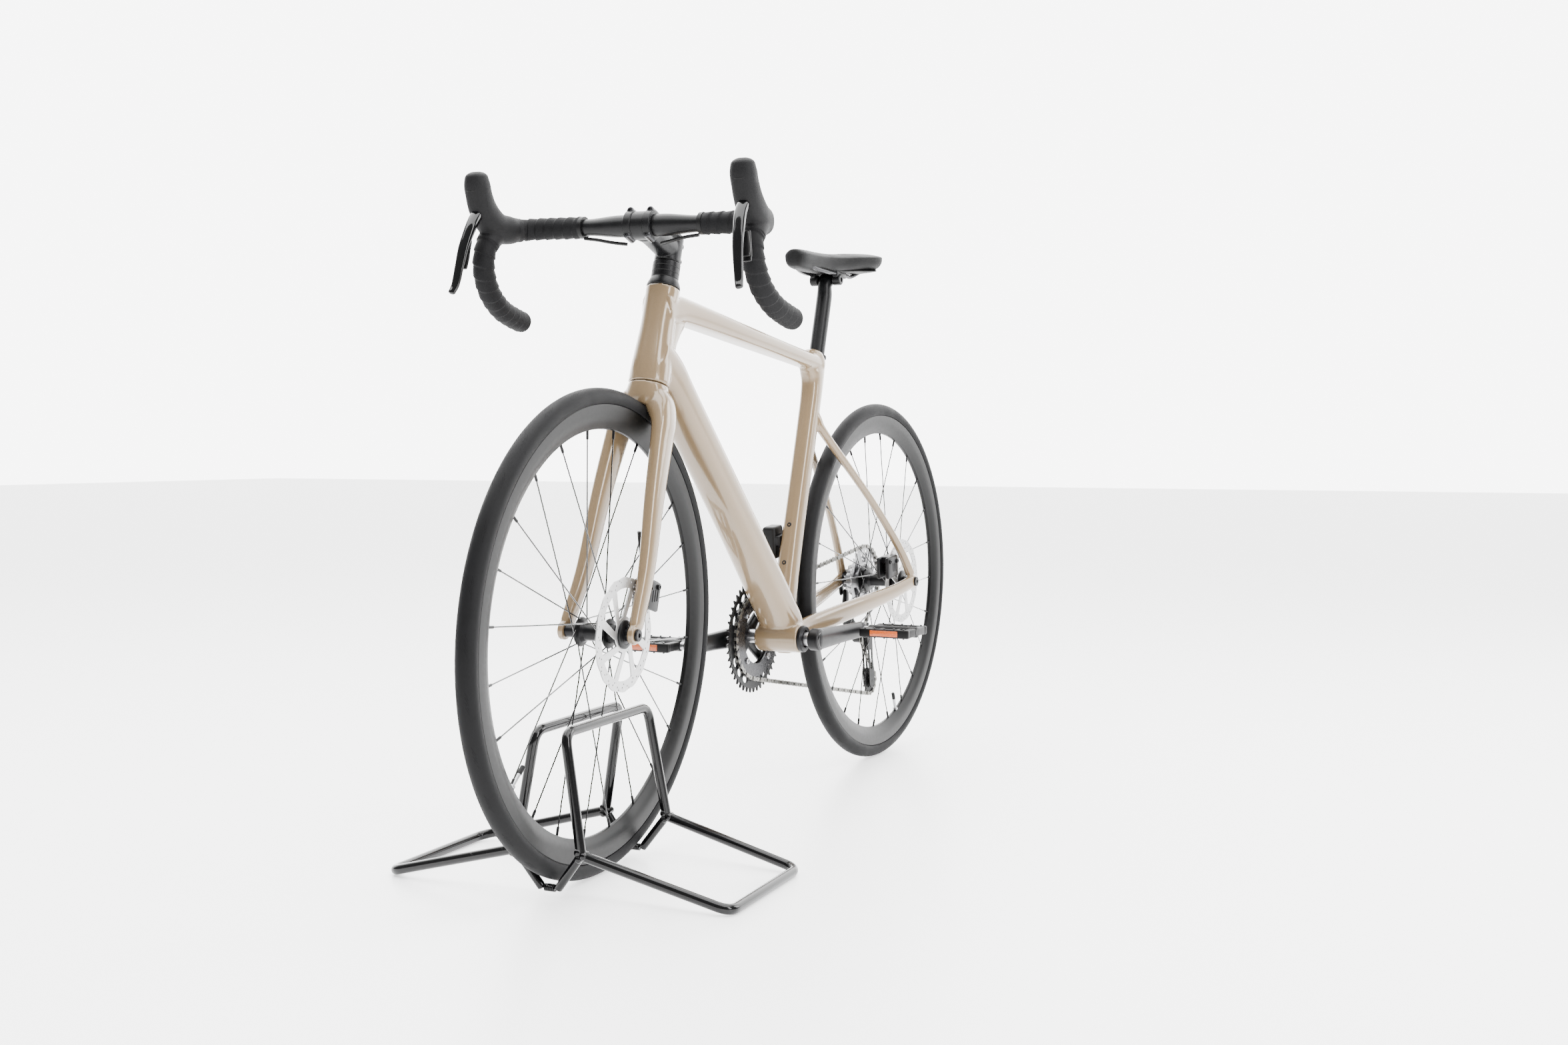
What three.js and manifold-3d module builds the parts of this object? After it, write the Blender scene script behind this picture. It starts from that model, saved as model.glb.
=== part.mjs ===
// Road bicycle held upright by a folding floor stand that grips its front wheel.
// Millimetres. +X points forward along the bicycle, +Y to the rider's left, +Z up.
// The origin lies on the floor, midway between the two wheel centres.

import * as THREE from 'three';
import { mergeVertices } from 'three/addons/utils/BufferGeometryUtils.js';
import Module from 'manifold-3d';

const wasm = await Module();
wasm.setup();

// ---------------------------------------------------------------- driving dimensions

const GAP = 0.35;                         // clearance left between touching pieces

const WHEELBASE = 990;
const TYRE_RADIUS = 339;                  // 700C rim with a 28 mm tyre
const TYRE_WIDTH = 28;
const RIM_OUTER = 317;
const RIM_INNER = 282;
const RIM_WIDTH = 23;
const WHEEL_SIDES = 36;                   // facets round a wheel
const SPOKE_COUNT = 24;
const SPOKE_RADIUS = 1;
const ROTOR_RADIUS = 80;
const ROTOR_THICK = 1.8;
const THRU_AXLE_RADIUS = 6;

const HEAD_ANGLE = THREE.MathUtils.degToRad(73.5);
const SEAT_ANGLE = THREE.MathUtils.degToRad(73);
const RAKE = 37;                          // hub ahead of the steering axis
const STEER_REST = THREE.MathUtils.degToRad(3.8);   // handlebar turned a little to the left

const BB = new THREE.Vector3(-73, 0, 272);          // bottom bracket centre
const REAR_AXLE = new THREE.Vector3(-WHEELBASE / 2, 0, TYRE_RADIUS);
const FRONT_AXLE = new THREE.Vector3(WHEELBASE / 2, 0, TYRE_RADIUS);

// heights measured along the steering axis from the point level with the front hub
const HEAD_BOTTOM = 373;
const HEAD_TOP = 522;
const STEM_BOTTOM = 562;
const STEM_TOP = 604;
const STEM_LENGTH = 90;
const STEERER_RADIUS = 14.3;

const BAR_RADIUS = 12;
const BAR_CLAMP_RADIUS = 15.9;
const TAPE_RADIUS = 16.2;
const SLEEVE_RADIUS = 14.2;                // faceted hole that clears the round bar

const PITCH = 12.7;                       // chain link length
const RING_TEETH = 36;                    // inner chainring, which carries the chain
const RING_BIG_TEETH = 46;
const COG_TEETH = 32;                     // largest sprocket, which carries the chain
const PULLEY_TEETH = 12;
const CHAIN_HALF = 2.6;                   // half the chain's height
const CHAIN_WIDTH = 5;
const RING_Y = -42;                       // inner chainring's plane
const RING_BIG_Y = -49;
const COG_Y = -26;                        // largest sprocket's plane
const CRANK_LENGTH = 172.5;
const CRANK_Y = 70;                       // middle of the crank arm at its foot
const PEDAL_Y = 138;                      // middle of the pedal

const GUIDE_PULLEY = new THREE.Vector3(-507, COG_Y, 226);
const TENSION_PULLEY = new THREE.Vector3(-520, COG_Y, 138);

const STAND_X = 500;                      // stand centre, under the front hub
const STAND_Y = -3;
const STAND_YAW = THREE.MathUtils.degToRad(3.64);
const STAND_TUBE = 7;                     // radius of the stand's steel rod

// ---------------------------------------------------------------- vectors and solids

const v = (x, y, z) => new THREE.Vector3(x, y, z);
const SIDES = [['left', 1], ['right', -1]];

/** A closed three.js geometry as a solid that can be joined and cut. */
function solid(geometry) {
  const bare = geometry.index ? geometry.toNonIndexed() : geometry.clone();
  bare.deleteAttribute('normal');
  bare.deleteAttribute('uv');
  const merged = mergeVertices(bare, 1e-3);
  return new wasm.Manifold(new wasm.Mesh({
    numProp: 3,
    vertProperties: new Float32Array(merged.attributes.position.array),
    triVerts: new Uint32Array(merged.index.array),
  }));
}

const join = (parts) => parts.reduce((whole, part) => whole.add(part));
const cut = (body, tools) => tools.reduce((whole, tool) => whole.subtract(tool), body);

/** A solid back as a three.js geometry. */
function geometryOf(body) {
  const mesh = body.getMesh();
  const geometry = new THREE.BufferGeometry();
  geometry.setAttribute('position', new THREE.BufferAttribute(mesh.vertProperties, 3));
  geometry.setIndex(new THREE.BufferAttribute(mesh.triVerts, 1));
  geometry.computeVertexNormals();
  return geometry;
}

/** Box of size (x, y, z) about a centre, turned about Y by an angle. */
function box(size, centre, turn = 0) {
  const geometry = new THREE.BoxGeometry(size.x, size.y, size.z);
  geometry.rotateY(turn);
  geometry.translate(centre.x, centre.y, centre.z);
  return solid(geometry);
}

/** Straight round or oval bar from a to b; radii are in the X-Z plane, wide scales them across. */
function bar(a, b, ra, rb = ra, wide = 1, sides = 12) {
  const along = b.clone().sub(a);
  const geometry = new THREE.CylinderGeometry(rb, ra, along.length(), sides);
  geometry.rotateY(Math.PI / sides);
  geometry.scale(1, 1, wide);
  const up = along.clone().normalize();
  const across = Math.abs(up.y) > 0.99 ? v(0, 0, 1) : v(0, 1, 0);
  const first = up.clone().cross(across).normalize();
  const second = first.clone().cross(up).normalize();
  geometry.applyMatrix4(new THREE.Matrix4().makeBasis(first, up, second));
  geometry.translate((a.x + b.x) / 2, (a.y + b.y) / 2, (a.z + b.z) / 2);
  return solid(geometry);
}

/** Oval limb lofted through stations [x, y, z, radius, wide]; wide scales it along the across axis. */
function limb(stations, sides = 10, across = v(0, 1, 0)) {
  const last = stations.length - 1;
  const geometry = new THREE.CylinderGeometry(1, 1, last, sides, last);
  const centres = stations.map(([x, y, z]) => v(x, y, z));
  const frames = centres.map((centre, i) => {
    const along = centres[Math.min(i + 1, last)].clone().sub(centres[Math.max(i - 1, 0)]).normalize();
    const first = along.clone().cross(across).normalize();
    return { centre, first, second: first.clone().cross(along) };
  });
  const place = geometry.attributes.position;
  for (let i = 0; i < place.count; i += 1) {
    const ring = Math.round(place.getY(i) + last / 2);
    const [, , , radius, wide = 1] = stations[ring];
    const { centre, first, second } = frames[ring];
    const point = centre.clone()
      .addScaledVector(first, place.getX(i) * radius)
      .addScaledVector(second, place.getZ(i) * radius * wide);
    place.setXYZ(i, point.x, point.y, point.z);
  }
  return solid(geometry);
}

function ball(centre, radius, wide = 1, high = 1) {
  const geometry = new THREE.SphereGeometry(radius, 8, 5);
  geometry.scale(1, wide, high);
  geometry.translate(centre.x, centre.y, centre.z);
  return solid(geometry);
}

/** Round rod, or a sleeve when inner is given, swept along a curve. */
function rod(curve, radius, steps, sides = 8, inner = 0) {
  const section = new THREE.Shape(new THREE.EllipseCurve(0, 0, radius,
    radius).getPoints(sides).slice(0, -1));
  if (inner > 0) {
    const hole = new THREE.EllipseCurve(0, 0, inner, inner).getPoints(sides).slice(0, -1);
    section.holes.push(new THREE.Path(hole));
  }
  return solid(new THREE.ExtrudeGeometry(section, { steps, extrudePath: curve, curveSegments: sides }));
}

const smooth = (points, tension = 0.5) => new THREE.CatmullRomCurve3(points, false, 'centripetal', tension);

/** Ring or disc about a Y-parallel axis through centre; profile is a closed list of [radius, y]. */
function turned(profile, centre, segments = 24) {
  const area = profile.reduce((sum, [r, y], i) => {
    const [r1, y1] = profile[(i + 1) % profile.length];
    return sum + r * y1 - r1 * y;
  }, 0);
  const ring = area > 0 ? profile : [...profile].reverse();
  const points = [...ring, ring[0]].map(([r, y]) => new THREE.Vector2(r, y));
  const geometry = new THREE.LatheGeometry(points, segments);
  geometry.translate(centre.x, 0, centre.z);
  return solid(geometry);
}

/** Plain sleeve (or disc when inner is 0) about a Y-parallel axis. */
function sleeve(inner, outer, y0, y1, centre, segments = 20) {
  if (inner === 0) {
    return bar(v(centre.x, y0, centre.z), v(centre.x, y1, centre.z), outer, outer, 1, segments);
  }
  return turned([[inner, y0], [outer, y0], [outer, y1], [inner, y1]], centre, segments);
}

// ---------------------------------------------------------------- materials and scene graph

const COLOURS = {
  sand: [0xb7a78f, 0.32, 0.15],
  black: [0x1b1c1e, 0.55, 0.1],
  gloss: [0x0d0d0e, 0.2, 0.1],
  rubber: [0x2b2c2e, 0.85, 0],
  hood: [0x3c3d3f, 0.8, 0],
  tape: [0x2c2d2e, 0.9, 0],
  steel: [0xa9abad, 0.35, 0.9],
  stand: [0x101113, 0.3, 0.4],
};

const bicycle = new THREE.Group();
const frontEnd = new THREE.Group();
const stand = new THREE.Group();
bicycle.add(frontEnd, stand);

/** Adds one named sub-part with a material of its own. */
function part(group, name, body, look) {
  const [color, roughness, metalness] = COLOURS[look];
  const mesh = new THREE.Mesh(geometryOf(body),
    new THREE.MeshStandardMaterial({ color, roughness, metalness }));
  mesh.name = name;
  group.add(mesh);
}

// ---------------------------------------------------------------- steering axis

const steerUp = v(-Math.cos(HEAD_ANGLE), 0, Math.sin(HEAD_ANGLE));
const steerForward = v(Math.sin(HEAD_ANGLE), 0, Math.cos(HEAD_ANGLE));
const steerFoot = FRONT_AXLE.clone().addScaledVector(steerForward, -RAKE);
const onSteer = (s, ahead = 0, y = 0) =>
  steerFoot.clone().addScaledVector(steerUp, s).addScaledVector(steerForward, ahead).add(v(0, y, 0));

// the whole front end turns about the steering axis
frontEnd.matrixAutoUpdate = false;
frontEnd.matrix
  .makeTranslation(steerFoot.x, steerFoot.y, steerFoot.z)
  .multiply(new THREE.Matrix4().makeRotationAxis(steerUp, STEER_REST))
  .multiply(new THREE.Matrix4().makeTranslation(-steerFoot.x, -steerFoot.y, -steerFoot.z));

// ---------------------------------------------------------------- wheels

/** Hollow tyre, open towards the rim like the real casing. */
function tyre(axle) {
  const half = TYRE_WIDTH / 2;
  const centre = TYRE_RADIUS - half;
  const arc = (radius, low, count) => Array.from({ length: count + 1 }, (_, i) => {
    const angle = THREE.MathUtils.degToRad(low + ((180 - 2 * low) * i) / count);
    return [centre + radius * Math.sin(angle), radius * Math.cos(angle)];
  });
  const bead = RIM_OUTER - 5.6;
  const lip = RIM_OUTER + GAP;
  return turned([
    [bead, 9.4], [lip, 9.4], ...arc(half, -32, 6), [lip, -9.4], [bead, -9.4],
    [bead, -7], ...arc(half - 2.7, 0, 3).reverse(), [bead, 7],
  ], axle, WHEEL_SIDES);
}

/** Deep rim with hooked edges around a shallow tyre well. */
function rim(axle) {
  const half = RIM_WIDTH / 2;
  const well = RIM_OUTER - 6;
  return turned([
    [RIM_INNER, -3.5], [RIM_INNER + 16, -half], [RIM_OUTER, -half], [RIM_OUTER, -half + 1.6],
    [well, -half + 1.6], [well, half - 1.6], [RIM_OUTER, half - 1.6], [RIM_OUTER, half],
    [RIM_INNER + 16, half], [RIM_INNER, 3.5],
  ], axle, WHEEL_SIDES);
}

/** Crossed spokes from both flanges to the rim's inner edge. */
function spokes(axle, flanges, phase) {
  const crossing = THREE.MathUtils.degToRad(54);
  const wires = [];
  for (let k = 0; k < SPOKE_COUNT; k += 1) {
    const [y, radius] = flanges[k % 2];
    const lead = Math.floor(k / 2) % 2 === 0 ? 1 : -1;
    const outer = phase + (2 * Math.PI * k) / SPOKE_COUNT;
    const inner = outer + lead * crossing;
    const a = v(axle.x + radius * Math.cos(inner), y + 1.2 * lead, axle.z + radius * Math.sin(inner));
    const reach = RIM_INNER * Math.cos(Math.PI / WHEEL_SIDES) - GAP;
    const b = v(axle.x + reach * Math.cos(outer), 0, axle.z + reach * Math.sin(outer));
    wires.push(bar(a, b, SPOKE_RADIUS, SPOKE_RADIUS, 1, 4));
  }
  return join(wires);
}

/** Hub shell with two flanges and the splined seat for the rotor. */
function hub(axle, halfWidth, [leftY, leftR], [rightY, rightR], rotorY, freehub) {
  const bore = THRU_AXLE_RADIUS + GAP;
  const profile = [[bore, -halfWidth], [9, -halfWidth]];
  if (freehub) profile.push([9, -66], [17.3, -66], [17.3, -21.5], [12, -21.5]);
  profile.push(
    [9, rightY - 6], [12, rightY - 5], [12, rightY - 1.6], [rightR + 3, rightY - 1.6],
    [rightR + 3, rightY + 1.6], [13, rightY + 1.6], [12, 0], [13, leftY - 1.6],
    [leftR + 3, leftY - 1.6], [leftR + 3, leftY + 1.6], [14, leftY + 1.6], [14, rotorY + 4],
    [9, rotorY + 4], [9, halfWidth], [bore, halfWidth],
  );
  return turned(profile, axle, 14);
}

/** Brake rotor: a braking band on a star-shaped carrier. */
function rotor(axle, y) {
  const half = ROTOR_THICK / 2;
  const band = sleeve(ROTOR_RADIUS - 16, ROTOR_RADIUS, y - half, y + half, axle, 24);
  const boss = sleeve(14 + 2 * GAP, 24, y - half, y + half, axle, 16);
  const arms = [];
  for (let k = 0; k < 6; k += 1) {
    const a = (Math.PI * k) / 3;
    const mid = v(axle.x + 44 * Math.cos(a), y, axle.z + 44 * Math.sin(a));
    arms.push(box(v(46, ROTOR_THICK, 7), mid, -a));
  }
  return join([band, boss, ...arms]);
}

/** Through axle with its round head on the left. */
function thruAxle(axle, reach, headY) {
  const shaft = sleeve(0, THRU_AXLE_RADIUS, -reach, headY + 2, axle, 12);
  const head = sleeve(0, 9, headY, headY + 4, axle, 12);
  return join([shaft, head]);
}

const FRONT_FLANGES = [[17, 18], [-27, 18]];
const REAR_FLANGES = [[33, 20], [-18, 21]];
const FRONT_ROTOR_Y = 39.5;
const REAR_ROTOR_Y = 52;

function wheel(group, side, axle, halfWidth, flanges, rotorY, freehub, phase) {
  part(group, `${side}_tyre`, tyre(axle), 'rubber');
  part(group, `${side}_rim`, rim(axle), 'black');
  const shell = hub(axle, halfWidth, flanges[0], flanges[1], rotorY, freehub);
  part(group, `${side}_hub_and_spokes`, join([shell, spokes(axle, flanges, phase)]), 'black');
  part(group, `${side}_rotor`, rotor(axle, rotorY), 'steel');
}

wheel(frontEnd, 'front', FRONT_AXLE, 49.7, FRONT_FLANGES, FRONT_ROTOR_Y, false, 0.13);
wheel(bicycle, 'rear', REAR_AXLE, 70.7, REAR_FLANGES, REAR_ROTOR_Y, true, 0.05);

// ---------------------------------------------------------------- fork and headset

// rear stays and fork blade as stations [x, y, z, radius, wide], left side
const SEAT_STAY = [
  [-184, 9, 646, 9], [-216, 19, 617, 8], [-354, 44, 504, 7], [-445, 63, 413, 7.2], [-492, 73.5, 352, 8.5],
];
const CHAIN_STAY = [
  [-86, 22, 274, 21, 0.6], [-150, 27, 287, 18.5, 0.5], [-300, 50, 308, 16.5, 0.52],
  [-412, 65, 323, 13.5, 0.56], [-486, 75, 337, 12, 0.58],
];
const BLADE = [
  [357, 22, 684, 25, 0.72], [367, 32.5, 656, 24.5, 0.6], [382, 36, 616, 22.5, 0.55],
  [416, 43, 522, 19, 0.58],
  [448, 49, 425, 15.5, 0.6], [490, 54.5, 346, 12, 0.62],
];

function fork() {
  const pieces = [
    bar(onSteer(352), onSteer(HEAD_BOTTOM - GAP), 26, 28.5, 1, 20),
    bar(onSteer(360), onSteer(STEM_TOP - 1), STEERER_RADIUS, STEERER_RADIUS, 1, 16),
  ];
  SIDES.forEach(([, s]) => {
    pieces.push(limb(BLADE.map(([x, y, z, r, w]) => [x, s * y, z, r, w])));
    pieces.push(sleeve(0, 13, s * 50.1, s * 59.5, FRONT_AXLE, 16));
  });
  const tyreRoom = sleeve(0, TYRE_RADIUS + 7, -21, 21, FRONT_AXLE, 36);
  const hubRoom = sleeve(0, 24, -50.1, 50.1, FRONT_AXLE, 20);
  const rotorRoom = sleeve(0, ROTOR_RADIUS + 3, 36, 42.5, FRONT_AXLE, 32);
  const bore = sleeve(0, THRU_AXLE_RADIUS + GAP, -56, 70, FRONT_AXLE, 16);
  return cut(join(pieces), [tyreRoom, hubRoom, rotorRoom, bore]);
}

part(frontEnd, 'fork', fork(), 'sand');
part(frontEnd, 'front_thru_axle', thruAxle(FRONT_AXLE, 55.5, 59.9), 'black');

/** Hole for the steerer between two heights on the steering axis. */
function steererHole(from, to) {
  const radius = STEERER_RADIUS + GAP;
  return bar(onSteer(from - 5), onSteer(to + 5), radius, radius, 1, 16);
}

const coverTop = HEAD_TOP + 14;
part(frontEnd, 'headset_spacers', cut(join([
  bar(onSteer(HEAD_TOP + GAP), onSteer(coverTop), 25, 21, 1, 24),
  bar(onSteer(coverTop - 1), onSteer(STEM_BOTTOM - GAP), 20.5, 20.5, 1, 24),
]), [steererHole(HEAD_TOP, STEM_BOTTOM)]), 'black');
part(frontEnd, 'stem_top_cap', bar(onSteer(STEM_TOP + GAP), onSteer(STEM_TOP + 4), 17, 15.5, 1, 20),
  'black');

// ---------------------------------------------------------------- stem, handlebar and tape

const stemMiddle = (STEM_BOTTOM + STEM_TOP) / 2;
const barCentre = onSteer(stemMiddle, STEM_LENGTH);
const onBar = (x, y, z) => barCentre.clone().add(v(x, y, z));
const barCut = bar(onBar(0, -60, 0), onBar(0, 60, 0), BAR_CLAMP_RADIUS + GAP, BAR_CLAMP_RADIUS + GAP,
  1, 20);

function stem() {
  const clamp = bar(onSteer(STEM_BOTTOM), onSteer(STEM_TOP), 19.5, 19.5, 1, 20);
  const beam = bar(onSteer(stemMiddle, 12), onSteer(stemMiddle, STEM_LENGTH - 13), 17, 15, 1.05, 16);
  const mouth = bar(onBar(0, -22, 0), onBar(0, 22, 0), 21, 21, 1, 20);
  const front = box(v(60, 80, 80), onSteer(stemMiddle, STEM_LENGTH + 30 - GAP), HEAD_ANGLE - Math.PI / 2);
  return cut(join([clamp, beam, mouth]), [front, barCut, steererHole(STEM_BOTTOM, STEM_TOP)]);
}

function faceplate() {
  const shell = bar(onBar(0, -22, 0), onBar(0, 22, 0), 21, 21, 1, 20);
  const back = box(v(60, 80, 80), onSteer(stemMiddle, STEM_LENGTH - 30 + GAP), HEAD_ANGLE - Math.PI / 2);
  const window = box(v(40, 20, 11), onSteer(stemMiddle, STEM_LENGTH + 22), HEAD_ANGLE - Math.PI / 2);
  return cut(shell, [back, barCut, window]);
}

part(frontEnd, 'stem', stem(), 'black');
part(frontEnd, 'stem_faceplate', faceplate(), 'black');

// one half of the bend, from the middle of the bar to the end of the drop
const BEND = [
  [0, 0, 0], [0, 60, 0], [0, 120, 0], [1, 160, 0], [12, 188, -2], [38, 203, -7], [64, 207, -15],
  [82, 209, -36], [82, 212, -66], [62, 215, -97], [28, 218, -118], [-8, 220, -128], [-36, 221, -133],
];
const halfBend = (s) => smooth(BEND.map(([x, y, z]) => onBar(x, s * y, z)));

/** Stretch of the bend between two fractions of its length. */
function stretch(s, from, to, count) {
  const curve = halfBend(s);
  const points = [];
  for (let i = 0; i <= count; i += 1) points.push(curve.getPointAt(from + ((to - from) * i) / count));
  return smooth(points);
}

function handlebar() {
  const whole = [...BEND].reverse().map(([x, y, z]) => onBar(x, y, z));
  const right = BEND.slice(1).map(([x, y, z]) => onBar(x, -y, z));
  const bend = rod(smooth([...whole, ...right]), BAR_RADIUS, 44, 8);
  const bulge = bar(onBar(0, -42, 0), onBar(0, 42, 0), BAR_CLAMP_RADIUS, BAR_CLAMP_RADIUS, 1, 20);
  return join([bend, bulge]);
}

part(frontEnd, 'handlebar', handlebar(), 'black');

const TAPE_TOP = [0.215, 0.435];          // fractions of the half bend's length
const HOOD_ZONE = [0.44, 0.60];
const TAPE_DROP = [0.605, 0.995];

SIDES.forEach(([side, s]) => {
  const inner = SLEEVE_RADIUS;
  const top = rod(stretch(s, TAPE_TOP[0], TAPE_TOP[1], 8), TAPE_RADIUS, 8, 8, inner);
  const drop = rod(stretch(s, TAPE_DROP[0], TAPE_DROP[1], 14), TAPE_RADIUS, 12, 8, inner);
  part(frontEnd, `bar_tape_top_${side}`, top, 'tape');
  part(frontEnd, `bar_tape_drop_${side}`, drop, 'tape');
});

// ---------------------------------------------------------------- brake and shift levers

const LEVER_PIVOT = [99, 207, 14];        // from the bar's centre, left side
const LEVER = [[99, 207, 14, 5.5], [118, 208, -4, 5.6], [135, 212, -40, 5.2], [144, 217, -98, 4.6]];

function hood(s) {
  const shape = limb([
    [26, s * 199, -4, 17, 0.9], [44, s * 203, -5, 20.5, 0.95], [72, s * 206.5, 0, 21.5, 0.9],
    [97, s * 207, 24, 20.5, 0.84], [110, s * 206.5, 51, 17, 0.98], [112, s * 206.5, 64, 10, 1],
  ]).translate([barCentre.x, barCentre.y, barCentre.z]);
  const channel = rod(stretch(s, HOOD_ZONE[0] - 0.14, HOOD_ZONE[1] + 0.2, 16), SLEEVE_RADIUS, 22, 8);
  const slot = box(v(60, 15, 46), onBar(118, s * 207, 2), 0.35);
  const tapeRoom = ([from, to]) => rod(stretch(s, from, to, 10), TAPE_RADIUS + 1.6, 16, 8);
  const topRoom = tapeRoom([TAPE_TOP[0], TAPE_TOP[1] + 0.006]);
  const dropRoom = tapeRoom([TAPE_DROP[0] - 0.006, TAPE_DROP[1]]);
  return cut(shape, [channel, slot, topRoom, dropRoom]);
}

function lever(s) {
  const blade = limb(LEVER.map(([x, y, z, r]) => [x, s * y, z, r, 1.15]), 10);
  const root = bar(v(LEVER_PIVOT[0], s * (LEVER_PIVOT[1] - 6), LEVER_PIVOT[2]),
    v(LEVER_PIVOT[0], s * (LEVER_PIVOT[1] + 6), LEVER_PIVOT[2]), 6, 6, 1, 12);
  return join([blade, root]).translate([barCentre.x, barCentre.y, barCentre.z]);
}

/** Slim shift paddle behind the brake blade. */
function paddle(s, back, z0, z1) {
  const thick = 2.6;
  const low = v(onBar(138 - back, 0, 0).x, s * 220, barCentre.z + z0);
  const high = v(onBar(129 - back, 0, 0).x, s * 216, barCentre.z + z1);
  return bar(low, high, thick, thick, 2.2, 8);
}

SIDES.forEach(([side, s]) => {
  part(frontEnd, `hood_${side}`, hood(s), 'hood');
  part(frontEnd, `brake_lever_${side}`, lever(s), 'gloss');
  part(frontEnd, `shift_paddle_front_${side}`, paddle(s, 10.5, -62, -30), 'black');
  part(frontEnd, `shift_paddle_rear_${side}`, paddle(s, 17.5, -70, -28), 'black');
});

// ---------------------------------------------------------------- brakes and hoses

/** Caliper straddling its rotor, with room for a pad on each side. */
function caliper(centre, size, axle, rotorY) {
  const half = ROTOR_THICK / 2 + 1 + 3 + 0.4;
  const slot = sleeve(0, ROTOR_RADIUS + 3.5, rotorY - half, rotorY + half, axle, 32);
  return cut(box(size, centre), [slot]);
}

function pad(centre, rotorY, sign) {
  const offset = ROTOR_THICK / 2 + 1 + 1.5;
  return box(v(17, 3, 20), v(centre.x, rotorY + sign * offset, centre.z));
}

const FRONT_CALIPER = v(431, FRONT_ROTOR_Y, 388);
const FRONT_PADS = v(440.5, FRONT_ROTOR_Y, 377.5);
const REAR_CALIPER = v(-424, REAR_ROTOR_Y, 371);
const REAR_PADS = v(-433, REAR_ROTOR_Y, 366);

const thickened = (stations) => limb(stations.map(([x, y, z, r, w = 1]) => [x, y, z, r + 1.2, w * 1.06]));
const frontCaliper = caliper(FRONT_CALIPER, v(40, 26, 44), FRONT_AXLE, FRONT_ROTOR_Y);
const rearCaliper = caliper(REAR_CALIPER, v(50, 26, 42), REAR_AXLE, REAR_ROTOR_Y);
part(frontEnd, 'front_caliper', cut(frontCaliper, [thickened(BLADE)]), 'black');
part(bicycle, 'rear_caliper', cut(rearCaliper, [thickened(CHAIN_STAY), thickened(SEAT_STAY)]), 'black');
[['inner', -1], ['outer', 1]].forEach(([name, sign]) => {
  part(frontEnd, `front_pad_${name}`, pad(FRONT_PADS, FRONT_ROTOR_Y, sign), 'steel');
  part(bicycle, `rear_pad_${name}`, pad(REAR_PADS, REAR_ROTOR_Y, sign), 'steel');
});

const FRONT_HOSE = [[436, 30, 478], [431, 29, 462], [427, 30, 440], [427, 33, 424], [425, 36, 411.6]];
part(frontEnd, 'front_brake_hose', rod(smooth(FRONT_HOSE.map((p) => v(...p))), 2.5, 16, 8), 'black');
SIDES.forEach(([side, s]) => {
  const route = [onBar(3, s * 92, -16.2), onBar(4, s * 70, -19), onBar(2, s * 48, -23),
    onBar(-8, s * 27.5, -25)];
  part(frontEnd, `bar_hose_${side}`, rod(smooth(route), 2.5, 14, 8), 'black');
});

// ---------------------------------------------------------------- frame

const seatLine = (z, y = 0) => v(BB.x - (z - BB.z) / Math.tan(SEAT_ANGLE), y, z);
const SEAT_TOP = 752;
const POST_RADIUS = 13.6;
const POST_FOOT = 560;                    // height of the seatpost's lower end
const POST_BORE_FOOT = 452;               // room for the post to drop by 100 mm
const COLLAR_HEIGHT = 5.5;

/** Round hole for the seatpost, open at the top. */
function postHole(foot, clearance) {
  const radius = POST_RADIUS + clearance;
  return bar(seatLine(foot), seatLine(SEAT_TOP + 30), radius, radius, 1, 16);
}

function frameBody() {
  const headTube = bar(onSteer(HEAD_BOTTOM), onSteer(HEAD_TOP), 28.5, 25, 1, 20);
  const topTube = limb([[318, 0, 800, 23, 1], [262, 0, 801, 18, 1.15], [-172, 0, 747.5, 13, 1.3],
    [-219, 0, 741, 13, 1.2]]);
  const downTube = limb([[344, 0, 722, 27, 1.05], [296, 0, 694, 24, 1.15], [-70, 0, 314, 25, 1.25],
    [-82, 0, 290, 25, 1.3]]);
  const seatTube = bar(v(BB.x, 0, BB.z), seatLine(SEAT_TOP), 18, 16, 1, 16);
  const shell = bar(v(BB.x, -42.5 + 5.5, BB.z), v(BB.x, 42.5, BB.z), 24, 24, 1, 20);
  const pieces = [headTube, topTube, downTube, seatTube, shell];
  SIDES.forEach(([, s]) => {
    pieces.push(limb(SEAT_STAY.map(([x, y, z, r]) => [x, s * y, z, r])));
    pieces.push(limb(CHAIN_STAY.map(([x, y, z, r, w]) => [x, s * y, z, r, w])));
    pieces.push(bar(v(REAR_AXLE.x, s * 71.1, REAR_AXLE.z), v(REAR_AXLE.x, s * 80, REAR_AXLE.z), 14, 14,
      1, 16));
  });
  const hanger = bar(v(-496, -80, 336), v(-500, -80, 312), 9, 9, 1, 12);
  pieces.push(cut(hanger, [box(v(60, 12, 60), v(-498, -89, 320))]));
  const tyreRoom = sleeve(0, TYRE_RADIUS + 6, -20, 20, REAR_AXLE, 30);
  const hubRoom = sleeve(0, 78, -71.1, 54.2, REAR_AXLE, 18);
  const endRoom = sleeve(0, 13, 50, 71.1, REAR_AXLE, 16);
  const above = bar(onSteer(HEAD_TOP), onSteer(HEAD_TOP + 30), 42, 42, 1, 12);
  const rotorRoom = sleeve(0, ROTOR_RADIUS + 4, 49, 54.6, REAR_AXLE, 18);
  const axleBore = sleeve(0, THRU_AXLE_RADIUS + GAP, -76, 90, REAR_AXLE, 16);
  const spindleBore = sleeve(0, 15.5, -50, 50, BB, 14);
  const steererBore = bar(onSteer(HEAD_BOTTOM - 10), onSteer(HEAD_TOP + 10), 19, 19, 1, 14);
  const postBore = postHole(POST_BORE_FOOT, 2 * GAP);
  return cut(join(pieces), [
    tyreRoom, hubRoom, endRoom, rotorRoom, above, axleBore, spindleBore, steererBore, postBore,
  ]);
}

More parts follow.
